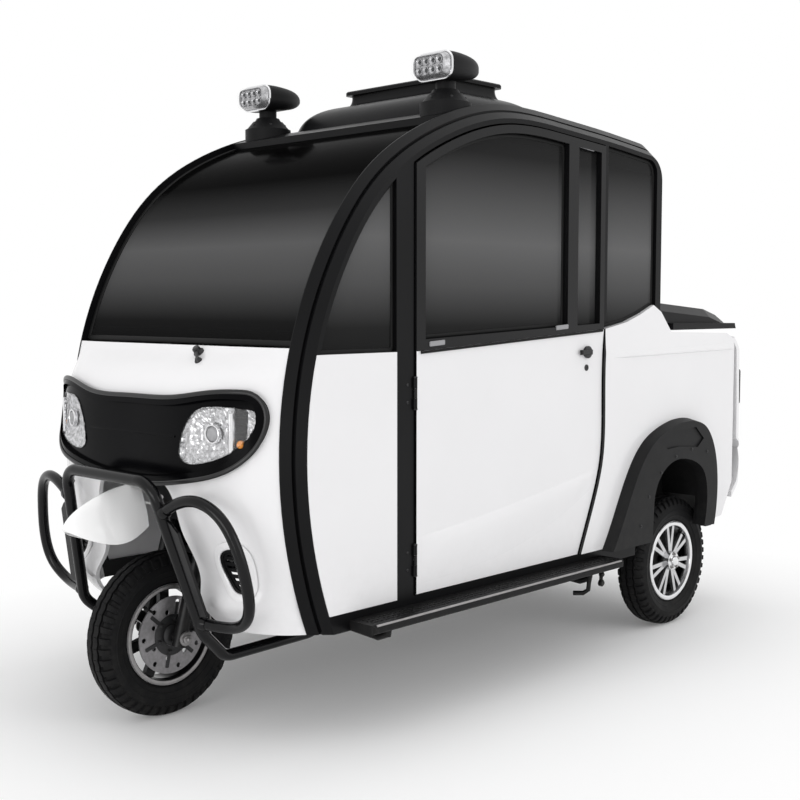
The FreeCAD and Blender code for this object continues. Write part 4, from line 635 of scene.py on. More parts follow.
centre = at(0, 0, TYRE_R)
tyre("front_tyre_tread", "front_tyre", 0, AXLE_Y, 0.047, "front_wheel")
trim = Shape()
for side in (1, -1):
    ring_lathe(trim, centre, X * side, mm(129, 36, 130, 37.8, 135, 38.8, 139.8, 38, 140.6, 36.2, 138.5, 35.8))
make("front_rim_lip", trim, mat_zinc, body="front_wheel")
hub = Shape()
ring_lathe(hub, centre, X, mm(31, 41.4, 31, 44, 56, 44, 57.5, 43, 57.5, 41.4), 48)
for i in range(6):
    turn = 2 * pi * (i + 0.3) / 6
    bolt(hub, around_wheel(centre, 0.0475, turn) + X * 0.044, X, 0.0058, 0.006)
    rounded(hub, around_wheel(centre, 0.072, turn) + X * 0.0414, around_wheel(Vector(), 1.0, turn),
        around_wheel(Vector(), 1.0, turn + pi / 2), 0.02, 0.0055, 0.003, mm(0, 0, 1.8, 0, 2.4, 0.6))
lathe(hub, centre + X * 0.0414, X, mm(30, 0, 30, 4, 24, 8.5, 13, 10.5), 32)
lathe(hub, centre - X * 0.0414, -X, mm(33.5, 0, 33.5, 3, 26, 8.5, 13, 10.5), 32)
make("front_disc_carrier", hub, mat_dark_bolt, body="front_wheel")
valve("front_valve", centre, X, 2.3, 0.02, (-0.55, 0.8), 0.026, "front_wheel")
brake = Shape()
for y, z in ((0.068, 0.246), (0.092, 0.274)):
    lathe(brake, at(0.07, y, z), X, mm(13, 0, 13, 3, 10, 5, 6, 5), 24)
for y, z in ((0.062, 0.28), (0.098, 0.243)):
    bolt(brake, at(0.07, y, z), X, 0.0045, 0.005)
block(brake, at(0.0425, 0.058, 0.238), at(0.047, 0.102, 0.284), 0.0016, 0.0006)
lathe(brake, at(0.06, 0.08, 0.288), Z, mm(4, 0, 4, 8, 2.5, 10, 2.5, 16), 14)
make("front_brake_details", brake, mat_dark_bolt, body="steering")
ends = Shape()
for side in (1, -1):
    bolt(ends, at(side * 0.104, 0, TYRE_R), X * side, 0.013, 0.012)
    lathe(ends, at(side * 0.115, 0, TYRE_R), X * side, mm(6.5, 0, 6.5, 6, 4.5, 8), 18)
make("front_axle_nuts", ends, mat_zinc, body="steering")


def rear_wheel(word, side):
    """Tyre, bright lip and hub cap, wheel nuts, brake drum and valve of one rear wheel."""
    body = "rear_wheel_" + word
    centre = at(side * REAR_WHEEL_X, REAR_AXLE_Y, TYRE_R)
    out = X * side
    tyre(body + "_tread", "rear_tyre_" + word, side * REAR_WHEEL_X, REAR_AXLE_Y + AXLE_Y, 0.052, body)
    trim = Shape()
    ring_lathe(trim, centre, out, mm(125.5, 38.5, 126.2, 40.5, 132, 42, 139.2, 41.2, 140.4, 39, 138.5, 38.5))
    lathe(trim, centre + out * 0.0452, out, mm(33, 0, 33, 2, 31, 4, 18, 5.2, 17.2, 10, 15, 12.5, 8, 14), 48)
    make(body + "_cap", trim, mat_chrome, body=body)
    nuts = Shape()
    for i in range(5):
        spot = around_wheel(centre, 0.0245, 2 * pi * (i + 0.25) / 5) + out * 0.0492
        bolt(nuts, spot, out, 0.0046, 0.0075)
    make(body + "_nuts", nuts, mat_zinc, body=body)
    drum = Shape()
    ring_lathe(drum, centre, out,
        mm(36, -30, 36, 4, 90, 10, 102, 6, 102, -2, 106, -4, 106, -10, 102, -12, 102, -30), 64)
    make(body + "_drum", drum, mat_under, body=body)
    valve(body + "_valve", centre, out, 0.9, 0.024, (-0.5, 0.85), 0.024, body)


for word, side in SIDES:
    rear_wheel(word, side)


# Lamps

def sheet_points(loop, steps_x, step_z):
    """Points, triangles and distances from the edge that fill an (x, z) outline with a regular field."""
    outline = [Vector((p.x, p.z)) for p in loop]
    count = len(outline)
    low_z, high_z = min(p.y for p in outline), max(p.y for p in outline)

    def inside(x, z):
        hit = False
        for a, b in zip(outline, outline[1:] + outline[:1]):
            if (a.y > z) != (b.y > z) and x < (b.x - a.x) * (z - a.y) / (b.y - a.y) + a.x:
                hit = not hit
        return hit

    def edge_distance(p):
        best = 1.0
        for a, b in zip(outline, outline[1:] + outline[:1]):
            along = b - a
            t = max(0, min(1.0, (p - a).dot(along) / max(along.length_squared, 1e-12)))
            best = min(best, (a + along * t - p).length)
        return best

    points, depths = list(outline), [0] * count
    rows = int((high_z - low_z) / step_z)
    for x in steps_x:
        for k in range(1, rows + 1):
            p = Vector((x, low_z + k * step_z))
            if inside(p.x, p.y):
                away = edge_distance(p)
                if away > step_z * 0.45:
                    points.append(p)
                    depths.append(away)
    made = delaunay_2d_cdt(points, [(i, (i + 1) % count) for i in range(count)], [], 1, 1e-6)
    order = [origins[0] if origins else 0 for origins in made[3]]
    return made[0], made[2], [depths[i] for i in order]


def headlamp(word, side):
    """Clear lens, faceted reflector with a dark stripe, bulb in its ring, and indicator of one headlamp."""
    loop, _ = [item for item in outlines("headlamps", -Y, 0.2) if item[0][0].x * side > 0][0]
    tree = surface_of("headlamps")
    stripe = [0.3915, 0.392, 0.424, 0.4245]
    xs = sorted([0.216 + 0.0042 * i for i in range(56)] + stripe)
    xs = [side * x for x in xs if x in stripe or min(abs(x - s) for s in stripe) > 0.0015]
    flat, faces, edge = sheet_points(loop, xs, 0.0042)

    def front(p, depth):
        place, _ = front_hit(tree, p.x, p.y)
        place = place or min(loop, key=lambda q: (q.x - p.x) ** 2 + (q.z - p.y) ** 2)
        return Vector((p.x, place.y + depth, p.y))

    lens, count = Shape(), len(flat)
    outer = [front(p, 0) for p in flat]
    inner = [front(p, 0.0025) for p in flat]
    rim = [(i, (i + 1) % len(loop)) for i in range(len(loop))]
    lens.add(outer + inner, [tuple(f) for f in faces] + [tuple(i + count for i in reversed(f)) for f in faces]
        + [(a, b, b + count, a + count) for a, b in rim])
    make("headlamp_lens_" + word, lens, mat_lens, replaced=("headlamps",), smooth=50)

    bowl, bulb = Shape(), Vector((side * 0.327, 0.814))

    def depth(p, away):
        """Depth of the reflector behind the lens: fluted bowl, ribbed stripe, then facets."""
        x = abs(p.x)
        wall = 0.0035 + away * 2.2
        if x < 0.3918:
            offset = p - bulb
            share = min(offset.length / 0.072, 1.0)
            turn = atan2(offset.y, offset.x)
            ridges = 0.0014 * abs(sin(9 * turn)) * min(1.0, share * 1.6)
            steps = 0.0016 * ((share * 5) % 1.0)
            return min(wall, 0.0245 - 0.0155 * share ** 2 + ridges + steps)
        if x < 0.4242:
            return min(wall, 0.017 + 0.0012 * sin(p.y * 900))
        return min(wall, 0.008 + 0.0035 * abs(sin(p.x * 260 + p.y * 190)))

    spots = [front(p, depth(p, away)) for p, away in zip(flat, edge)]
    for face in faces:
        middle = sum(abs(flat[i].x) for i in face) / len(face)
        bowl.add([spots[i] for i in face], [tuple(range(len(face)))], 1 if 0.3918 < middle < 0.4242 else 0)
    made = make("headlamp_reflector_" + word, bowl, [mat_reflector, mat_rubber])
    redo_mesh(made.data, lambda work: bmesh.ops.remove_doubles(work, verts=work.verts, dist=0.00001), 22)
    wall = made.modifiers.new("wall", "SOLIDIFY")
    wall.thickness = 0.001
    wall.offset = -1.0

    facing = Vector((side * 0.2, -0.98, 0))
    lamp = Shape()
    centre = front(bulb, 0.0205)
    ring_lathe(lamp, centre, facing, mm(20, 0, 20, 8.5, 21.5, 10.5, 24, 10, 25, 8, 24.5, 0), 40)
    lathe(lamp, centre, facing, mm(20, 1, 19, 6, 15, 10, 9, 12.5, 3, 13.2), 32, 1)
    post = front(Vector((side * 0.3895, 0.82)), 0.005)
    rounded(lamp, post, Vector((side * 0.9, -0.4, 0)), Z, 0.0026, 0.05, 0.002, mm(-4, 0, 4, 0, 5, 1))
    make("headlamp_bulb_" + word, lamp, [mat_chrome, mat_grey])
    amber = Shape()
    low = front(Vector((side * 0.4075, 0.79)), 0.016)
    lathe(amber, low, Vector((side * 0.45, -0.89, 0)), mm(11.5, 0, 11.5, 4, 9, 8.5, 5, 11), 24)
    make("indicator_" + word, amber, mat_amber)


for word, side in SIDES:
    headlamp(word, side)


def roof_lamp(word, side):
    """Insert with eight lights in their cups, bright bezel, and screws of the foot."""
    centre = at(side * ROOF_LAMP_X, ROOF_LAMP_Y, 1.822)
    insert = Shape()
    rounded(insert, centre, X, Z, 0.0665, 0.037, 0.027, mm(49, 0, 50, 0, 64, 3, 76, 9, 73.5, 11, 69, 12))
    for row, z in enumerate((-0.013, 0.013)):
        for k in range(4):
            spot = centre + Vector((side * (k - 1.5) * 0.0255, -0.0695, z))
            lathe(insert, spot, -Y, mm(11.8, -1, 11.8, 3.5, 10.8, 3.8, 4.5, -0.5), 20, 0)
            lathe(insert, spot, -Y, mm(5, -1, 4.6, 2, 2.2, 3.2), 12, 1)
            for turn in range(3):
                angle = 2.1 * turn + row + k
                bar = spot + Vector((0.0115 * cos(angle), -0.003, 0.0115 * sin(angle)))
                rounded(insert, bar, X, Z, 0.003, 0.0012, 0.0008, mm(-1, 0, 1.2, 0.4), 2, 2)
    make("roof_lamp_reflector_" + word, insert, [mat_roof_reflector, mat_screen, mat_grey])
    bezel = Shape()
    levels = mm(45.5, 0, 47, -1.5, 51, -1.5, 52.5, -0.3, 52.5, 3, 45.5, 3)
    bezel.grid([[centre + Vector((p, -height, q)) for p, q in corner_ring(0.04, 0.01, 0.03 - inset, 6)]
        for height, inset in levels], along=True)
    make("roof_lamp_bezel_" + word, bezel, mat_chrome)
    screws = Shape()
    foot = at(side * ROOF_LAMP_X, ROOF_LAMP_Y, 1.7355)
    for spot in ring_points(foot, Z, 0.0605, 6, X, 0.5):
        screw(screws, spot, ((spot - foot).normalized() * 0.763 + Z * 0.646), 0.0042)
    make("roof_lamp_screws_" + word, screws, mat_dark_bolt)


for word, side in SIDES:
    roof_lamp(word, side)


# Glass seals, trim of the nose and the black band

def seal(name, node_name, direction, width, height, body, limit):
    """Rubber strip just inside each outline of a pane's outer face."""
    shape = Shape()
    for points, normals in outlines(node_name, direction, limit):
        points, normals = resample(points, normals, 0.02)
        ribbon(shape, points, normals, width, height, True, shift=-width * 0.45)
    make(name, shape, mat_rubber, body=body)


for word, side in SIDES:
    seal("door_glass_seal_" + word, "door_glass_" + word, X * side, 0.011, 0.0035, "door_" + word, 0.9)
seal("windscreen_seal", "windscreen", Vector((0, -0.75, 0.66)), 0.016, 0.004, "chassis", 0.15)
seal("rear_glass_seal", "rear_glass", Y, 0.014, 0.0035, "chassis", 0.8)
for word, side in SIDES:
    seal("quarter_glass_seal_" + word, "quarter_glass", X * side, 0.011, 0.003, "chassis", 0.9)


def rim_strip(shape, loops, along, step, width, height, shift):
    """Strip round the outline that reaches furthest along x (0) or z (2)."""
    points, normals = max(loops, key=lambda item: max(p[along] for p in item[0])
        - min(p[along] for p in item[0]))
    ribbon(shape, *resample(points, normals, step), width, height, True, shift=shift)


edge = Shape()
rim_strip(edge, outlines("lamp_band", -Y, 0.15), 0, 0.012, 0.012, 0.004, 0.005)
starts = [Vector((-0.2 + 0.01 * i, -3.0, 0.8)) for i in range(41)]
ribbon(edge, *traced(surface_of("lamp_band"), starts, Y), 0.006, 0.0022, slot=1)
make("lamp_band_edge", edge, [mat_band_rim, mat_band])

wiper = Shape()
nose_tree = surface_of("nose_panel")
low, low_up = front_hit(nose_tree, 0.15, 1.012)
lathe(wiper, low, low_up, mm(15, -2, 15, 4, 11.5, 8, 10.5, 18, 7, 21), 28)
jet, jet_up = front_hit(nose_tree, 0.181, 0.992)
lathe(wiper, jet, jet_up, mm(10.5, -2, 10.5, 3, 8, 6.5, 5, 11), 24)
ribbon(wiper, [low + low_up * 0.01, low.lerp(jet, 0.55) + low_up * 0.009, jet + jet_up * 0.006],
    [low_up, low_up, jet_up], 0.0085, 0.005)
make("wiper_pivot", wiper, mat_dark_bolt)
for word, side in SIDES:
    rim = Shape()
    loops = [item for item in outlines("nose_vents", -Y, 0.2) if item[0][0].x * side > 0]
    rim_strip(rim, loops, 2, 0.008, 0.02, 0.0035, 0.0115)
    make("vent_surround_" + word, rim, mat_white)


# Door furniture, belt clips and screws

for word, side in SIDES:
    out, face = X * side, side * DOOR_FACE_X
    clips = Shape()
    for y, z in ((0.542, 1.0345), (1.119, 1.0705)):
        rounded(clips, at(face, y, z), (0, 1, 0.062), Z * side, 0.031, 0.007, 0.003,
            mm(-1, 0, 2.2, 0, 3.4, 1.2))
    make("belt_clips_" + word, clips, mat_grey, body="door_" + word)
    lock = Shape()
    handle_y = DOOR_REAR - 0.096
    lathe(lock, at(side * 0.5468, handle_y, 0.99), out, mm(19.5, -4, 19.5, 0, 18, 1.6, 12, 2.2), 32)
    rounded(lock, at(side * 0.5548, handle_y - 0.016, 0.99), Y, Z * side, 0.026, 0.006, 0.005,
        mm(-2, 0, 0.6, 0, 1.4, 1))
    lathe(lock, at(face, handle_y, 0.9405), out, mm(10, -1, 10, 2, 8.5, 3.2, 6, 3.2, 5.5, 2.2), 28)
    rounded(lock, at(side * 0.54, handle_y, 0.9405), Y, Z * side, 0.0008, 0.0042, 0.0007,
        mm(0, 0, 0.8, 0), 0, 2)
    make("door_lock_" + word, lock, mat_dark_bolt, body="door_" + word)
    drip = Shape()
    ribbon(drip, [at(side * 0.5405, 0.474 + 0.0215 * i, 1.0105 + 0.00117 * i) for i in range(41)], out, 0.0075,
        0.004)
    make("door_belt_strip_" + word, drip, mat_rubber, body="door_" + word)
    pins = Shape()
    for z in (0.44, 0.9):
        for way in (Z, -Z):
            lathe(pins, at(side * 0.536, 0.4575, z) + way * 0.042, way, mm(6, 0, 6, 2, 4.2, 4), 18)
        for up in (-0.024, 0.024):
            screw(pins, at(side * 0.532, 0.43, z + up), out, 0.0045)
    make("door_hinge_pins_" + word, pins, mat_dark_bolt)
    cap = Shape()
    rounded(cap, at(side * 0.5322, 1.236, 1.634), (0, 1, -0.09), Z * side, 0.05, 0.007, 0.003,
        mm(-1, 0, 2, 0, 3.2, 1.2))
    make("window_top_cap_" + word, cap, mat_grey)


# Running boards, their hangers and the guard bar's clamps

for word, side in SIDES:
    tread = Shape()
    for x in (0.56, 0.576, 0.592):
        rows = []
        for i in range(110):
            y = 0.234 + 0.01 * i
            lift = 0.0048 if i % 2 else 0.0034
            rows += [(y, lift), (y + 0.0075, lift)]
        cross = ((-0.0038, 0), (-0.0034, 1.0), (0.0034, 1.0), (0.0038, 0))
        tread.grid([[at(side * (x + a), y, 0.315 + lift * b) for a, b in cross] for y, lift in rows], caps=True)
    make("step_treads_" + word, tread, mat_rubber)
    trim = Shape()
    tube(trim, [at(side * 0.6165, y, 0.3145) for y in (0.225, 0.5, 0.8, 1.1, 1.345)], 0.0035, 10)
    make("step_edge_" + word, trim, mat_zinc)
    hanger = Shape()
    for y in (0.33, 1.257):
        block(hanger, at(side * 0.545, y - 0.01, 0.286), at(side * 0.585, y + 0.01, 0.2925))
        tube(hanger, path(side, (0.56, y, 0.29), (0.556, y, 0.262), (0.52, y, 0.248), (0.3, y, 0.262),
            (0.262, y, 0.303)), 0.0095, 14)
        for spot in (0.552, 0.578):
            bolt(hanger, at(side * spot, y, 0.2862), -Z, 0.0045, 0.0045)
    tube(hanger, path(side, (0.556, 1.257, 0.262), (0.552, 1.256, 0.224), (0.54, 1.245, 0.214),
        (0.512, 1.23, 0.212)), 0.0075, 12)
    lathe(hanger, at(side * 0.556, 1.33, 0.2345), X * side, mm(11, -10, 11, 0, 8, 3), 20)
    lathe(hanger, at(side * 0.556, 1.332, 0.263), X * side, mm(9, -10, 9, 0, 6, 3), 20)
    tube(hanger, path(side, (0.55, 1.331, 0.29), (0.55, 1.331, 0.228)), 0.006, 10)
    make("step_hangers_" + word, hanger, mat_steel)
    clamp = Shape()
    leg_foot, leg_top = at(side * 0.281, -0.076, 0.292), at(side * 0.201, -0.174, 0.688)
    up = (leg_top - leg_foot).normalized()
    across = X * side
    front = across.cross(up).normalized() * side
    plate = mm(50, 8, 56, 50, 285, 50, 305, 34, 322, 8)
    sides = [[leg_foot + up * a + across * b + front * t for a, b in plate] for t in (-0.004, 0.004)]
    clamp.grid(sides, caps=True)
    for x, y, z, way in ((0.218, -0.153, 0.606, (0.88, 0.055, 0.47)), (0.276, -0.082, 0.32, (0.96, 0.26, 0))):
        lean = Vector((side * way[0], way[1], way[2])).normalized()
        ring_lathe(clamp, at(side * x, y, z), lean, mm(14.9, 4, 18.5, 6, 19, 18, 16, 26, 14.9, 26), 24)
    make("guard_plates_" + word, clamp, mat_bar)
    fixings = Shape()
    for z in (0.309, 0.337):
        bolt(fixings, at(side * RAIL_X, 0.4218, z), -Y, 0.006, 0.006)
    for a in (0.09, 0.27):
        bolt(fixings, leg_foot + up * a + across * 0.026 - front * 0.004, -front, 0.005, 0.005)
    bolt(fixings, leg_top - up * 0.045 - front * 0.015, -front, 0.005, 0.005)
    make("guard_fixings_" + word, fixings, mat_zinc)


# Tail

for word, side in SIDES:
    lens = Shape()
    centre = at(side * 0.499, 2.2405, 0.8325)
    for k in range(9):
        z = (k - 4) * 0.0128
        ribbon(lens, [centre + Vector((x, 0, z)) for x in (-0.0345, -0.02, 0, 0.02, 0.0345)], Y, 0.0086, 0.0028)
    rounded(lens, centre + Vector((0, 0.0004, -0.0385)), X, Z, 0.035, 0.019, 0.004, mm(-1, 0, 3, 0, 3.6, 1), 1)
    ring = Shape()
    levels = mm(-2, 0, 3.5, 0, 5, 2, 5, 5, -2, 5.2)
    ring.grid([[centre + Vector((p, height, q)) for p, q in corner_ring(0.033, 0.0565, 0.01 - inset, 5)]
        for height, inset in levels], along=True)
    make("tail_lamp_ribs_" + word, lens, [mat_red, mat_amber])
    make("tail_lamp_rim_" + word, ring, mat_band)


# Seats: swollen cushions with sewn channels and piping

MOST_SWELL = 0.022


def swell(low, high, voxel):
    """Simulated cushion: a rounded block a little under size, blown up by pressure."""
    shape = Shape()
    half, centre, inset = (high - low) / 2, (low + high) / 2, 0.01
    half = half - Vector((inset, inset, inset * 0.6))
    r = min(0.03, half.z * 0.9)
    levels = [(-half.z, r * 0.5), (-half.z + r * 0.25, r * 0.12), (-half.z + r * 0.6, 0), (half.z - r, 0),
        (half.z - r * 0.45, r * 0.18), (half.z - r * 0.12, r * 0.6), (half.z, r * 1.1)]
    rounded(shape, centre, X, Y, half.x, half.y, 0.045, levels)
    mesh = bpy.data.meshes.new("swelling")
    mesh.from_pydata(shape.verts, [], shape.faces)
    made, scene = new_object("swelling", mesh), bpy.context.scene
    even = made.modifiers.new("even", "REMESH")
    even.mode = "VOXEL"
    even.voxel_size = voxel
    scene.frame_set(1)
    start = bpy.data.meshes.new_from_object(made.evaluated_get(bpy.context.evaluated_depsgraph_get()))
    final = [v.co.copy() for v in start.vertices]
    made.modifiers.clear()
    made.data = start
    cloth = made.modifiers.new("blow", "CLOTH")
    cloth.settings.quality = 4
    cloth.settings.mass = 0.3
    cloth.settings.use_pressure = True
    cloth.settings.uniform_pressure_force = 4.0
    cloth.settings.effector_weights.gravity = 0.0
    cloth.collision_settings.use_collision = False
    for count in range(1, 21):
        scene.frame_set(count)
    blown = made.evaluated_get(bpy.context.evaluated_depsgraph_get()).to_mesh()
    for i, v in enumerate(blown.vertices):
        push = v.co - final[i]
        final[i] = final[i] + push * min(1.0, MOST_SWELL / max(push.length, 1e-6))
    scene.frame_set(1)
    faces = [tuple(p.vertices) for p in start.polygons]
    bpy.data.objects.remove(made)
    for p in final:
        p.z = max(low.z, min(high.z + 0.006, p.z))
        p.x = max(low.x - 0.004, min(high.x + 0.004, p.x))
        p.y = max(low.y - 0.004, min(high.y + 0.004, p.y))
    return final, faces


def cushion(name, low, high, voxel, channels, place, replaced=()):
    """Cushion lying in (x, y, z) before place() moves its points; channels are sewn lines."""
    final, faces = swell(low, high, voxel)
    middle = (low + high) / 2
    for q in final:
        dip = 0.0
        for kind, value, start, end in channels if q.z > middle.z else ():
            across, along = (q.x - value, q.y) if kind == "x" else (q.y - value, q.x)
            ends = min(1.0, max(0, (along - start) / 0.03), max(0, (end - along) / 0.03))
            dip = max(dip, 0.0085 * exp(-(across / 0.0075) ** 2) * ends)
        q.z -= dip
    made_points = [place(q) for q in final]
    shape = Shape()
    shape.add(made_points, faces)
    piece = make(name, shape, mat_seat, replaced=replaced, smooth=60)
    smooth = piece.modifiers.new("smooth", "SUBSURF")
    smooth.levels = smooth.render_levels = 1
    tree = BVHTree.FromPolygons(made_points, faces)
    stitches = Shape()
    inset, seam_z = 0.006, high.z - 0.02
    a, b, c = (high.x - low.x) / 2 - inset, (high.y - low.y) / 2 - inset, 0.045
    line = [Vector((middle.x + p, middle.y + q, seam_z)) for p, q in corner_ring(a - c, b - c, c, 6)]
    dense = []
    for p, q in zip(line, line[1:] + line[:1]):
        pieces = max(1, int((q - p).length / 0.02))
        dense += [p.lerp(q, i / pieces) for i in range(pieces)]
    tube(stitches, [tree.find_nearest(place(p))[0] for p in dense], 0.003, 8, True)
    for kind, value, start, end in channels:
        count = int((end - start) / 0.012)
        for i in range(count):
            t = start + (end - start) * (i + 0.5) / count
            p = Vector((value, t, high.z)) if kind == "x" else Vector((t, value, high.z))
            spot, up, _, _ = tree.find_nearest(place(p - Vector((0, 0, 0.008))))
            along = Y if kind == "x" else X
            rounded(stitches, spot, along, up.cross(along), 0.0034, 0.0007, 0.0005, mm(-0.4, 0, 0.7, 0), 1, 1)
    make(name + "_seams", stitches, [mat_seat, mat_thread])


def leaning(hinge_y, angle):
    """Moves a lying pad so that its length runs up a backrest."""
    def place(p):
        out = 0.08 - p.z
        return Vector((p.x, hinge_y + AXLE_Y + p.y * sin(angle) + out * cos(angle),
            0.604 + p.y * cos(angle) - out * sin(angle)))
    return place


driver, bench = (-0.085, 0, 0.085), (-0.33, -0.22, -0.11, 0.11, 0.22, 0.33)
lines = [("x", x, 0.655 + AXLE_Y, 0.88 + AXLE_Y) for x in driver] + [("y", 0.64 + AXLE_Y, -0.15, 0.15)]
cushion("driver_cushion", at(-0.208, 0.602, 0.56), at(0.208, 0.905, 0.642), 0.008, lines, Vector,
    ("driver_seat",))
lines = [("x", x, 0.09, 0.43) for x in driver] + [("y", 0.455, -0.15, 0.15)]
cushion("driver_backrest", Vector((-0.206, 0, 0)), Vector((0.206, 0.512, 0.08)), 0.008, lines,
    leaning(0.902, 0.1715))
lines = [("x", x, 1.29 + AXLE_Y, 1.49 + AXLE_Y) for x in bench]
lines += [("x", 0, 1.245 + AXLE_Y, 1.5 + AXLE_Y), ("y", 1.272 + AXLE_Y, -0.4, 0.4)]
cushion("rear_bench_cushion", at(-0.438, 1.232, 0.56), at(0.438, 1.512, 0.642), 0.011, lines, Vector,
    ("rear_bench",))
lines = [("x", x, 0.09, 0.42) for x in (*bench[:3], 0, *bench[3:])] + [("y", 0.445, -0.4, 0.4)]
cushion("rear_bench_backrest", Vector((-0.436, 0, 0)), Vector((0.436, 0.502, 0.08)), 0.011, lines,
    leaning(1.512, 0.175))
base = Shape()
for half_x, y0, y1 in ((0.18, 0.64, 0.97), (0.365, 1.27, 1.545)):
    block(base, at(-half_x, y0, 0.3632), at(half_x, y1, 0.5585), 0.018, 0.006)
    for k in range(3):
        block(base, at(-half_x + 0.03, y0 - 0.0025, 0.4 + 0.05 * k),
            at(half_x - 0.03, y0 + 0.002, 0.412 + 0.05 * k), 0.002, 0.001)
    block(base, at(-half_x - 0.02, y0 - 0.022, 0.548), at(half_x + 0.02, y1 + 0.012, 0.5595), 0.02, 0.003)
make("seat_bases", base, mat_plastic)
shells = Shape()
for half_x, y, top, lean in ((0.196, 0.905, 0.5, 0.1715), (0.426, 1.515, 0.49, 0.175)):
    up = Vector((0, sin(lean), cos(lean)))
    centre = at(0, y, 0.604) + up * (top / 2) + Vector((0, cos(lean), -sin(lean))) * 0.0815
    rounded(shells, centre, X, up, half_x, top / 2 - 0.004, 0.04, mm(-6, 4, -4, 0, 0, 0, 1.5, 3))
make("seat_back_shells", shells, mat_plastic)


# Cabin fittings

pod, dial_way = Shape(), Vector((0, 0.88, 0.47))
for x in (-0.052, 0.052):
    spot = at(x, 0.16, 0.9575)
    lathe(pod, spot, dial_way, mm(31, -20, 31, 6, 28, 9, 26, 4), 40)
    lathe(pod, spot, dial_way, mm(26, 2, 26, 4.5), 40, 1)
    for tick in range(11):
        mark = ring_points(spot + dial_way * 0.005, dial_way, 0.021, 1, X, radians(-30 + 24 * tick))
        rounded(pod, mark[0], X, (0, -0.47, 0.88), 0.001, 0.001, 0.0008, mm(0, 0, 0.6, 0), 2, 2)
for k in range(5):
    spot = at(-0.3 + 0.032 * k, 0.1545, 0.905)
    rounded(pod, spot, X, (0, -0.1, 1), 0.012, 0.009, 0.003, mm(-12, 0, -2, 0, 0, 1.5))
make("instrument_pod", pod, [mat_plastic, mat_screen, mat_grey])
vents = Shape()
for side in (1, -1):
    for k in range(5):
        block(vents, at(side * 0.345 - 0.055, 0.1475, 0.838 + 0.011 * k),
            at(side * 0.345 + 0.055, 0.1575, 0.842 + 0.011 * k), 0.002, 0.001)
    block(vents, at(side * 0.23 - 0.06, 0.15, 0.77), at(side * 0.23 + 0.06, 0.159, 0.82), 0.003, 0.002)
make("dash_vents", vents, mat_plastic)
floor_mat = Shape()
for y0, y1 in ((0.475, 0.625), (1.07, 1.222)):
    block(floor_mat, at(-0.44, y0, 0.3626), at(0.44, y1, 0.3664), 0.02, 0.001)
    for k in range(int((y1 - y0 - 0.02) / 0.012)):
        y = y0 + 0.012 * k
        block(floor_mat, at(-0.42, y + 0.012, 0.366), at(0.42, y + 0.017, 0.3684), 0.002, 0.0008)
make("floor_mats", floor_mat, mat_rubber)
pedal, tread_way, pedal_spot = Shape(), Vector((0, 0.75, 0.66)), at(0.12, 0.508, 0.462)
tube(pedal, path(1, (0.12, 0.47, 0.366), (0.12, 0.48, 0.41), (0.12, 0.505, 0.455)), 0.007, 12)
rounded(pedal, pedal_spot, X, tread_way, 0.03, 0.024, 0.006, mm(-5, 1, 4, 0, 6, 1))
for k in range(4):
    rounded(pedal, pedal_spot + tread_way * (0.012 * (k - 1.5)), X, tread_way, 0.026, 0.0022, 0.001,
        mm(4, 0, 8.5, 0), 0, 2)
make("brake_pedal", pedal, mat_steel)
for word, side in SIDES:
    trim = Shape()
    face, inward, v = side * 0.5, -X * side, -Z * side
    rounded(trim, at(face, 0.9, 0.69), Y, v, 0.33, 0.24, 0.05, mm(-1, 0, 3, 0, 4.5, 3))
    rounded(trim, at(face, 0.9, 0.79), Y, v, 0.21, 0.026, 0.02, mm(3, 0, 16, 0, 20, 5))
    rounded(trim, at(face, 0.9, 0.53), Y, v, 0.23, 0.055, 0.02, mm(3, 0, 11, 0, 15, 6))
    make("door_trim_" + word, trim, mat_plastic, body="door_" + word)
    grip = Shape()
    bow = ((0.98, 0.905, 0.002), (0.985, 0.905, 0.026), (1.06, 0.915, 0.03), (1.135, 0.925, 0.026),
        (1.14, 0.925, 0.002))
    tube(grip, [at(face, y, z) + inward * out for y, z, out in bow], 0.0075, 12)
    lathe(grip, at(face, 1.235, 0.93), inward, mm(21, 0, 21, 4, 16, 7), 28)
    make("door_pull_" + word, grip, mat_dark_bolt, body="door_" + word)


# Handlebar controls, cabin mirror and sill trims

grips, metal = Shape(), Shape()
for word, side in SIDES:
    tip = at(side * 0.33, 0.3309, 1.0282)
    along = Vector((side * 0.9458, 0.3108, -0.0946)).normalized()
    ahead = along.cross(Z).normalized() * side
    profile = [(0.0163, -0.101)]
    for k in range(11):
        h = -0.097 + 0.0085 * k
        profile += [(0.0163, h), (0.0182, h + 0.0015), (0.0182, h + 0.0045), (0.0163, h + 0.006)]
    profile += mm(16.3, 2.2, 19.5, 2.6, 19.5, 6, 12, 8.5)
    lathe(grips, tip, along, profile, 28)
    inner = tip - along * 0.126
    up = ahead.cross(along) * side
    lathe(grips, inner, along, mm(18, -18, 20, -16, 20, 16, 18, 18), 24)
    for k in (-0.008, 0.008):
        rounded(grips, inner + along * k, along, ahead * side, 0.005, 0.007, 0.002, mm(16, 0, 22.5, 0, 24, 1.5))
    pivot = tip - along * 0.112 - ahead * 0.019
    lathe(metal, pivot - up * 0.008, up, mm(8, 0, 8, 16), 16)
    tube(metal, [pivot, pivot - ahead * 0.01 + along * 0.02, tip - ahead * 0.03 - along * 0.055,
        tip - ahead * 0.029 - along * 0.004], 0.0042, 12)
make("handlebar_grips", grips, mat_rubber, body="steering")
axis = Vector((0, sin(RAKE), cos(RAKE)))
stem_top = at(0, 0.026, 0.229) + axis * 0.798
for spot in ring_points(stem_top + axis * 0.016, axis, 0.0165, 4, X, 0.5):
    bolt(metal, spot, axis, 0.0042, 0.005)
lathe(metal, stem_top + axis * 0.0155, axis, mm(10, 0, 10, 2, 7.5, 4), 24)
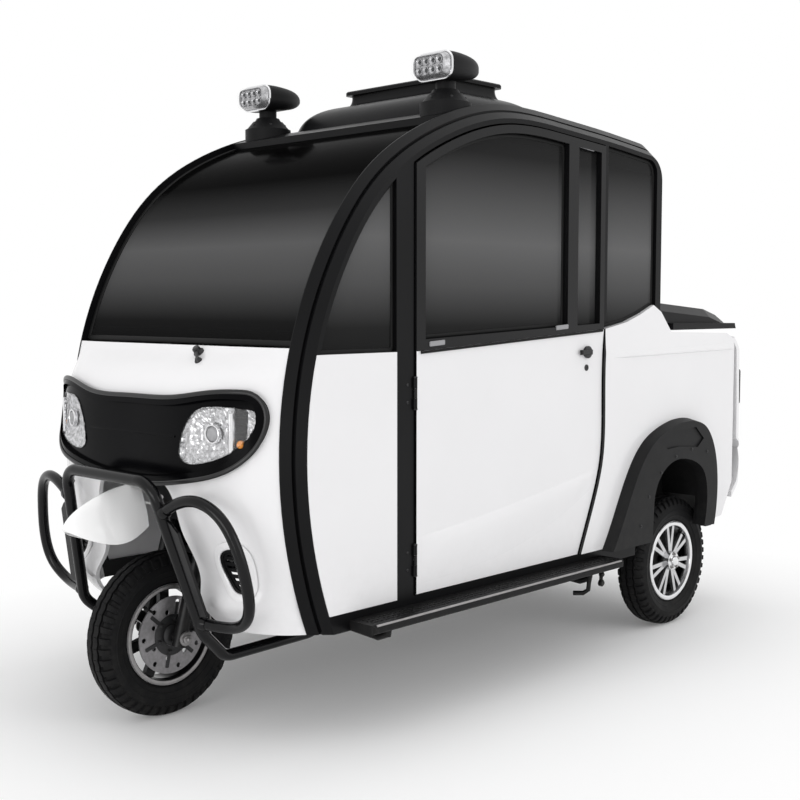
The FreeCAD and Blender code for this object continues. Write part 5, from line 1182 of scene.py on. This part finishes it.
make("handlebar_levers", metal, mat_zinc, body="steering")
mirror = Shape()
rounded(mirror, at(0, 0.64, 1.56), X, (0, 0.2, 0.98), 0.1, 0.03, 0.014, mm(-6, 4, -3, 0, 8, 0, 16, 12))
tube(mirror, [at(0, 0.645, 1.568), at(0, 0.664, 1.6), at(0, 0.674, 1.634)], 0.006, 12)
rounded(mirror, at(0, 0.64, 1.56), X, (0, 0.2, 0.98), 0.094, 0.0255, 0.012, mm(-7.2, 0, -5.8, 0), 1)
make("cabin_mirror", mirror, [mat_plastic, mat_chrome])


for word, side in SIDES:
    sill = Shape()
    outline = mm(456, 340.5, 494, 340.5, 494, 360, 492.5, 363, 481.5, 363, 480.5, 361.5, 480.5, 350, 456, 350)
    sill.grid([[at(side * x, y, z) for x, z in outline] for y in (0.466, 0.7, 0.96, 1.212)], caps=True)
    for k in range(5):
        screw(sill, at(side * 0.487, 0.52 + 0.16 * k, 0.3629), Z, 0.0035)
    make("sill_trim_" + word, sill, mat_plastic)


# Underside: axle fixings, motor fins, battery straps

axle = Shape()
for k in range(9):
    h = -0.16 + 0.0125 * k
    lathe(axle, at(0, 1.76, TYRE_R), X, [(0.0615, h), (0.069, h + 0.0006), (0.069, h + 0.0034),
        (0.0615, h + 0.004)], 48)
for spot in ring_points(at(-0.17, 1.76, TYRE_R), X, 0.047, 6, Z, 0.5):
    bolt(axle, spot, -X, 0.0055, 0.0055)
for spot in ring_points(at(0.13, 1.82, TYRE_R), X, 0.0245, 4, Z, 0.5):
    bolt(axle, spot, X, 0.005, 0.004)
lathe(axle, at(0.06, 1.82, TYRE_R - 0.077), -Z, mm(11, 0, 11, 3, 7, 3, 7, 8), 20)
make("motor_fins", axle, mat_under)
bolts = Shape()
for word, side in SIDES:
    for x in (0.231, 0.269):
        for y in AXLE_BOLTS_Y:
            tube(bolts, [at(side * x, y, 0.176), at(side * x, y, 0.288)], 0.0045, 10)
    for y in AXLE_BOLTS_Y:
        tube(bolts, [at(side * x, y, 0.2845) for x in (0.229, 0.25, 0.271)], 0.005, 10)
    block(bolts, at(side * RAIL_X - 0.028, 1.778, 0.1925), at(side * RAIL_X + 0.028, 1.862, 0.201), 0.006)
    for x in (0.231, 0.269):
        for y in AXLE_BOLTS_Y:
            bolt(bolts, at(side * x, y, 0.1925), -Z, 0.0075, 0.0065)
    for y in (1.49, 2.15):
        for way in (1, -1):
            bolt(bolts, at(side * RAIL_X + way * 0.0231, y, 0.2897), X * way, 0.0065, 0.0045)
make("axle_bolts", bolts, mat_zinc)
strap = Shape()
for y in (1.03, 1.32):
    block(strap, at(-0.2285, y - 0.02, 0.187), at(0.2285, y + 0.02, 0.1897), 0.003, 0.001)
    for side in (1, -1):
        bolt(strap, at(side * 0.205, y, 0.1868), -Z, 0.006, 0.005)
for k in range(7):
    y = 1.075 + 0.03 * k
    block(strap, at(-0.185, y - 0.004, 0.185), at(0.185, y + 0.004, 0.1897), 0.002, 0.001)
make("battery_straps", strap, mat_under)


# Tail: blank plate, reflectors, lid latch, and screws of the wheel arches

board = Shape()
lean = Vector((0, 0.02, 1)).normalized()
rounded(board, at(0, 2.23, 0.715), -X, lean, 0.11, 0.06, 0.008, mm(-1, 0, 1.5, 0, 2.2, 1))
for x in (-0.075, 0.075):
    screw(board, at(x, 2.2322, 0.754), Y, 0.0045)
rounded(board, at(0, 2.2293, 0.715), -X, lean, 0.116, 0.066, 0.01, mm(-1, 0, 1, 0, 1.8, 1), 1)
make("blank_plate", board, [mat_plate, mat_plastic])
lights = Shape()
slope = Vector((0, 0.894, -0.447))
for side in (1, -1):
    spot = at(side * 0.365, 2.269, 0.54)
    rise = slope.cross(-X)
    rounded(lights, spot, -X, rise, 0.034, 0.013, 0.006, mm(-2, 0, 3, 0, 5.5, 3))
    rounded(lights, spot, -X, rise, 0.038, 0.017, 0.008, mm(-2, 0, 1.5, 0, 2.2, 1), 1)
make("rear_reflectors", lights, [mat_red, mat_plastic])
latch = Shape()
block(latch, at(-0.04, 2.2015, 1.0545), at(0.04, 2.212, 1.0745), 0.006)
lathe(latch, at(0, 2.211, 1.0645), Y, mm(8.5, 0, 8.5, 2.5, 6.5, 4, 4, 4), 24)
for side in (1, -1):
    for k in (-1, 1):
        lathe(latch, at(side * 0.3 + k * 0.015, 1.71, 1.158), X * k, mm(6.2, -1, 6.2, 2, 4.5, 3.2), 18)
make("lid_latch", latch, mat_dark_bolt, body="bed_lid")
ribs = Shape()
tree = surface_of("bed_lid")
for x in (-0.3, -0.15, 0, 0.15, 0.3):
    starts = [at(x, 1.775 + 0.024 * k, 1.3) for k in range(12)]
    ribbon(ribs, *traced(tree, starts, -Z), 0.02, 0.003)
make("lid_ribs", ribs, mat_black, body="bed_lid")
seam = Shape()
tree = surface_of("tail_panel")
for z in (0.652, 0.9):
    starts = [at(-0.45 + 0.015 * k, 2.6, z) for k in range(61)]
    ribbon(seam, *traced(tree, starts, -Y), 0.007, 0.0018)
make("tail_seams", seam, mat_rubber)
tree = surface_of("wheel_flares")
for word, side in SIDES:
    screws = Shape()
    turns = [radians(18 + 18 * k) for k in range(9)]
    starts = [at(side * 0.8, 1.82 - 0.335 * cos(turn), 0.3 + 0.335 * sin(turn)) for turn in turns]
    for place, up in zip(*traced(tree, starts, -X * side)):
        if abs(place.x) > 0.56:
            screw(screws, place, up, 0.0055)
    make("flare_screws_" + word, screws, mat_dark_bolt)


# Moulding on the rear body sides, roof cowl screws, pressed curve low on the doors

# Height over the crease and how far the moulding stands out there
MOULDING = mm(16, -0.4, 5, 5.2, -4, 6, -7, 4.6, -8.5, -0.4)
for word, side in SIDES:
    crease, rows = Shape(), []
    tree = surface_of("rear_body_" + word)
    for k in range(80):
        y, z = 1.382 + 0.0105 * k, 0.974 + 0.01 * k / 79
        lift = min(1.0, k / 12, (79 - k) / 8)
        row, _ = traced(tree, [at(side * 0.8, y, z + up) for up, _ in MOULDING], -X * side)
        if len(row) == len(MOULDING):
            rows.append([p + X * side * (out * lift if out > 0 else out) for p, (_, out) in zip(row, MOULDING)])
    crease.grid(rows, caps=True)
    make("body_moulding_" + word, crease, mat_white, smooth=60)

cowl = Shape()
for x in (-0.205, 0, 0.205):
    for y in (0.955, 1.17):
        screw(cowl, at(x, y, 1.8538), Z, 0.006)
make("cowl_screws", cowl, mat_dark_bolt)


def door_edge(z):
    """Place along y of the door's slanting rear edge, low on the door."""
    return DOOR_REAR - 0.06 + (z - 0.512) * (0.074 / 0.167 if z < 0.512 else 0.042 / 0.128)


for word, side in SIDES:
    press = Shape()
    rows = []
    for i in range(61):
        t = i / 60
        top = 0.505 + 0.105 * t ** 1.3
        low = 0.372 + 0.03 * t + 0.15 * t ** 3
        low = min(low, top - 0.012)
        ends = min(1.0, t / 0.1, (1 - t) / 0.1)
        row = []
        for s in [k / 8 for k in range(9)] + [1.0, 0]:
            bulge = 0.0198 * ends * (s ** 0.6) * (1 - s) ** 1.6
            z = top + (low - top) * s
            out = 0.5382 + bulge if len(row) < 9 else 0.5376
            row.append(at(side * out, 0.478 + (door_edge(z) - 0.49) * t, z))
        rows.append(row)
    press.grid(rows, caps=True)
    make("door_pressing_" + word, press, mat_white, body="door_" + word, smooth=60)


# Floor, lights and camera

def build_stage():
    """Pale floor that keeps its shadow near the vehicle, lightened there by a tenth of painted white glow, and
    is plain white further off, and a white world.
    """
    made = bpy.data.materials.new("pale_floor")
    web = Web(made)
    shader = web.nodes["Principled BSDF"]
    shader.inputs["Roughness"].default_value = 0.9
    shader.inputs["Specular IOR Level"].default_value = 0.0
    web.fill(shader.inputs["Base Color"], web.mix(web.noise(0.4), (0.95, 0.95, 0.955), (0.97, 0.97, 0.97)))
    beside = web.remap(web.size(web.axis("X")), 0.55, 2.55, 0, 2.0)
    beyond = web.remap(web.size(web.axis("Y")), 1.15, 3.15, 0, 2.0)
    # Painted light: at least a tenth white glow, lightening the shadow under the vehicle.
    white_glow_share = web.remap(web.length(beside, beyond), 0.1, 1.1, 0.1, 1.0)
    white = web.new("Emission", Strength=1.0, Color=(1.0, 1.0, 1.0, 1.0))
    blend = web.new("MixShader")
    for number, value in enumerate((web.times(white_glow_share, web.background_rays()), shader.outputs[0],
            white.outputs[0])):
        web.fill(blend.inputs[number], value)
    web.fill(web.nodes["Material Output"].inputs["Surface"], blend.outputs[0])
    mesh = bpy.data.meshes.new("floor")
    mesh.from_pydata([(-60, -60, 0), (60, -60, 0), (60, 60, 0), (-60, 60, 0)], [], [(0, 1, 2, 3)])
    mesh.materials.append(made)
    new_object("floor", mesh)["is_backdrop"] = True
    world = bpy.data.worlds.new("studio")
    web = Web(world)
    background = web.nodes["Background"].inputs
    background["Color"].default_value = (1.0, 1.0, 1.0, 1.0)
    strength = web.calc("ADD", web.times(web.background_rays(), 1.0 - WORLD_LIGHT), WORLD_LIGHT)
    web.fill(background["Strength"], strength)
    bpy.context.scene.world = world


def aimed(name, data, place, way):
    made = new_object(name, data)
    made.location = place
    made.rotation_mode = "QUATERNION"
    made.rotation_quaternion = Vector(way).to_track_quat("-Z", "Y")
    return made


def area_light(name, place, target, size, power):
    light = bpy.data.lights.new(name, "AREA")
    light.shape = "RECTANGLE"
    light.size, light.size_y = size
    light.energy = power
    aimed(name, light, place, Vector(target) - Vector(place))


def build_camera():
    camera = bpy.data.cameras.new("camera")
    camera.sensor_width = 36.0
    camera.lens = camera.sensor_width * FOCAL_PIXELS / PICTURE_PIXELS
    camera.clip_end = 200.0
    bpy.context.scene.camera = aimed("camera", camera, (2.803, -2.966, 1.141), (-0.6896, 0.7199, -0.0778))


build_camera()
build_stage()
area_light("overhead", (0.8, -0.6, 5.0), (0, 0, 0), (4.0, 4.0), 22.0)
area_light("front_softbox", (1.2, -5.2, 0.9), (0, 0, 0.6), (3.0, 1.4), 42.0)
area_light("side_softbox", (5.5, 1.5, 2.6), (0, 0.2, 0.9), (3.5, 2.0), 32.0)
bpy.context.scene.view_settings.view_transform = "Standard"

low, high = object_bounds()
{"cad": [list(cad_box[0]), list(cad_box[1])], "visual": [list(low), list(high)]}
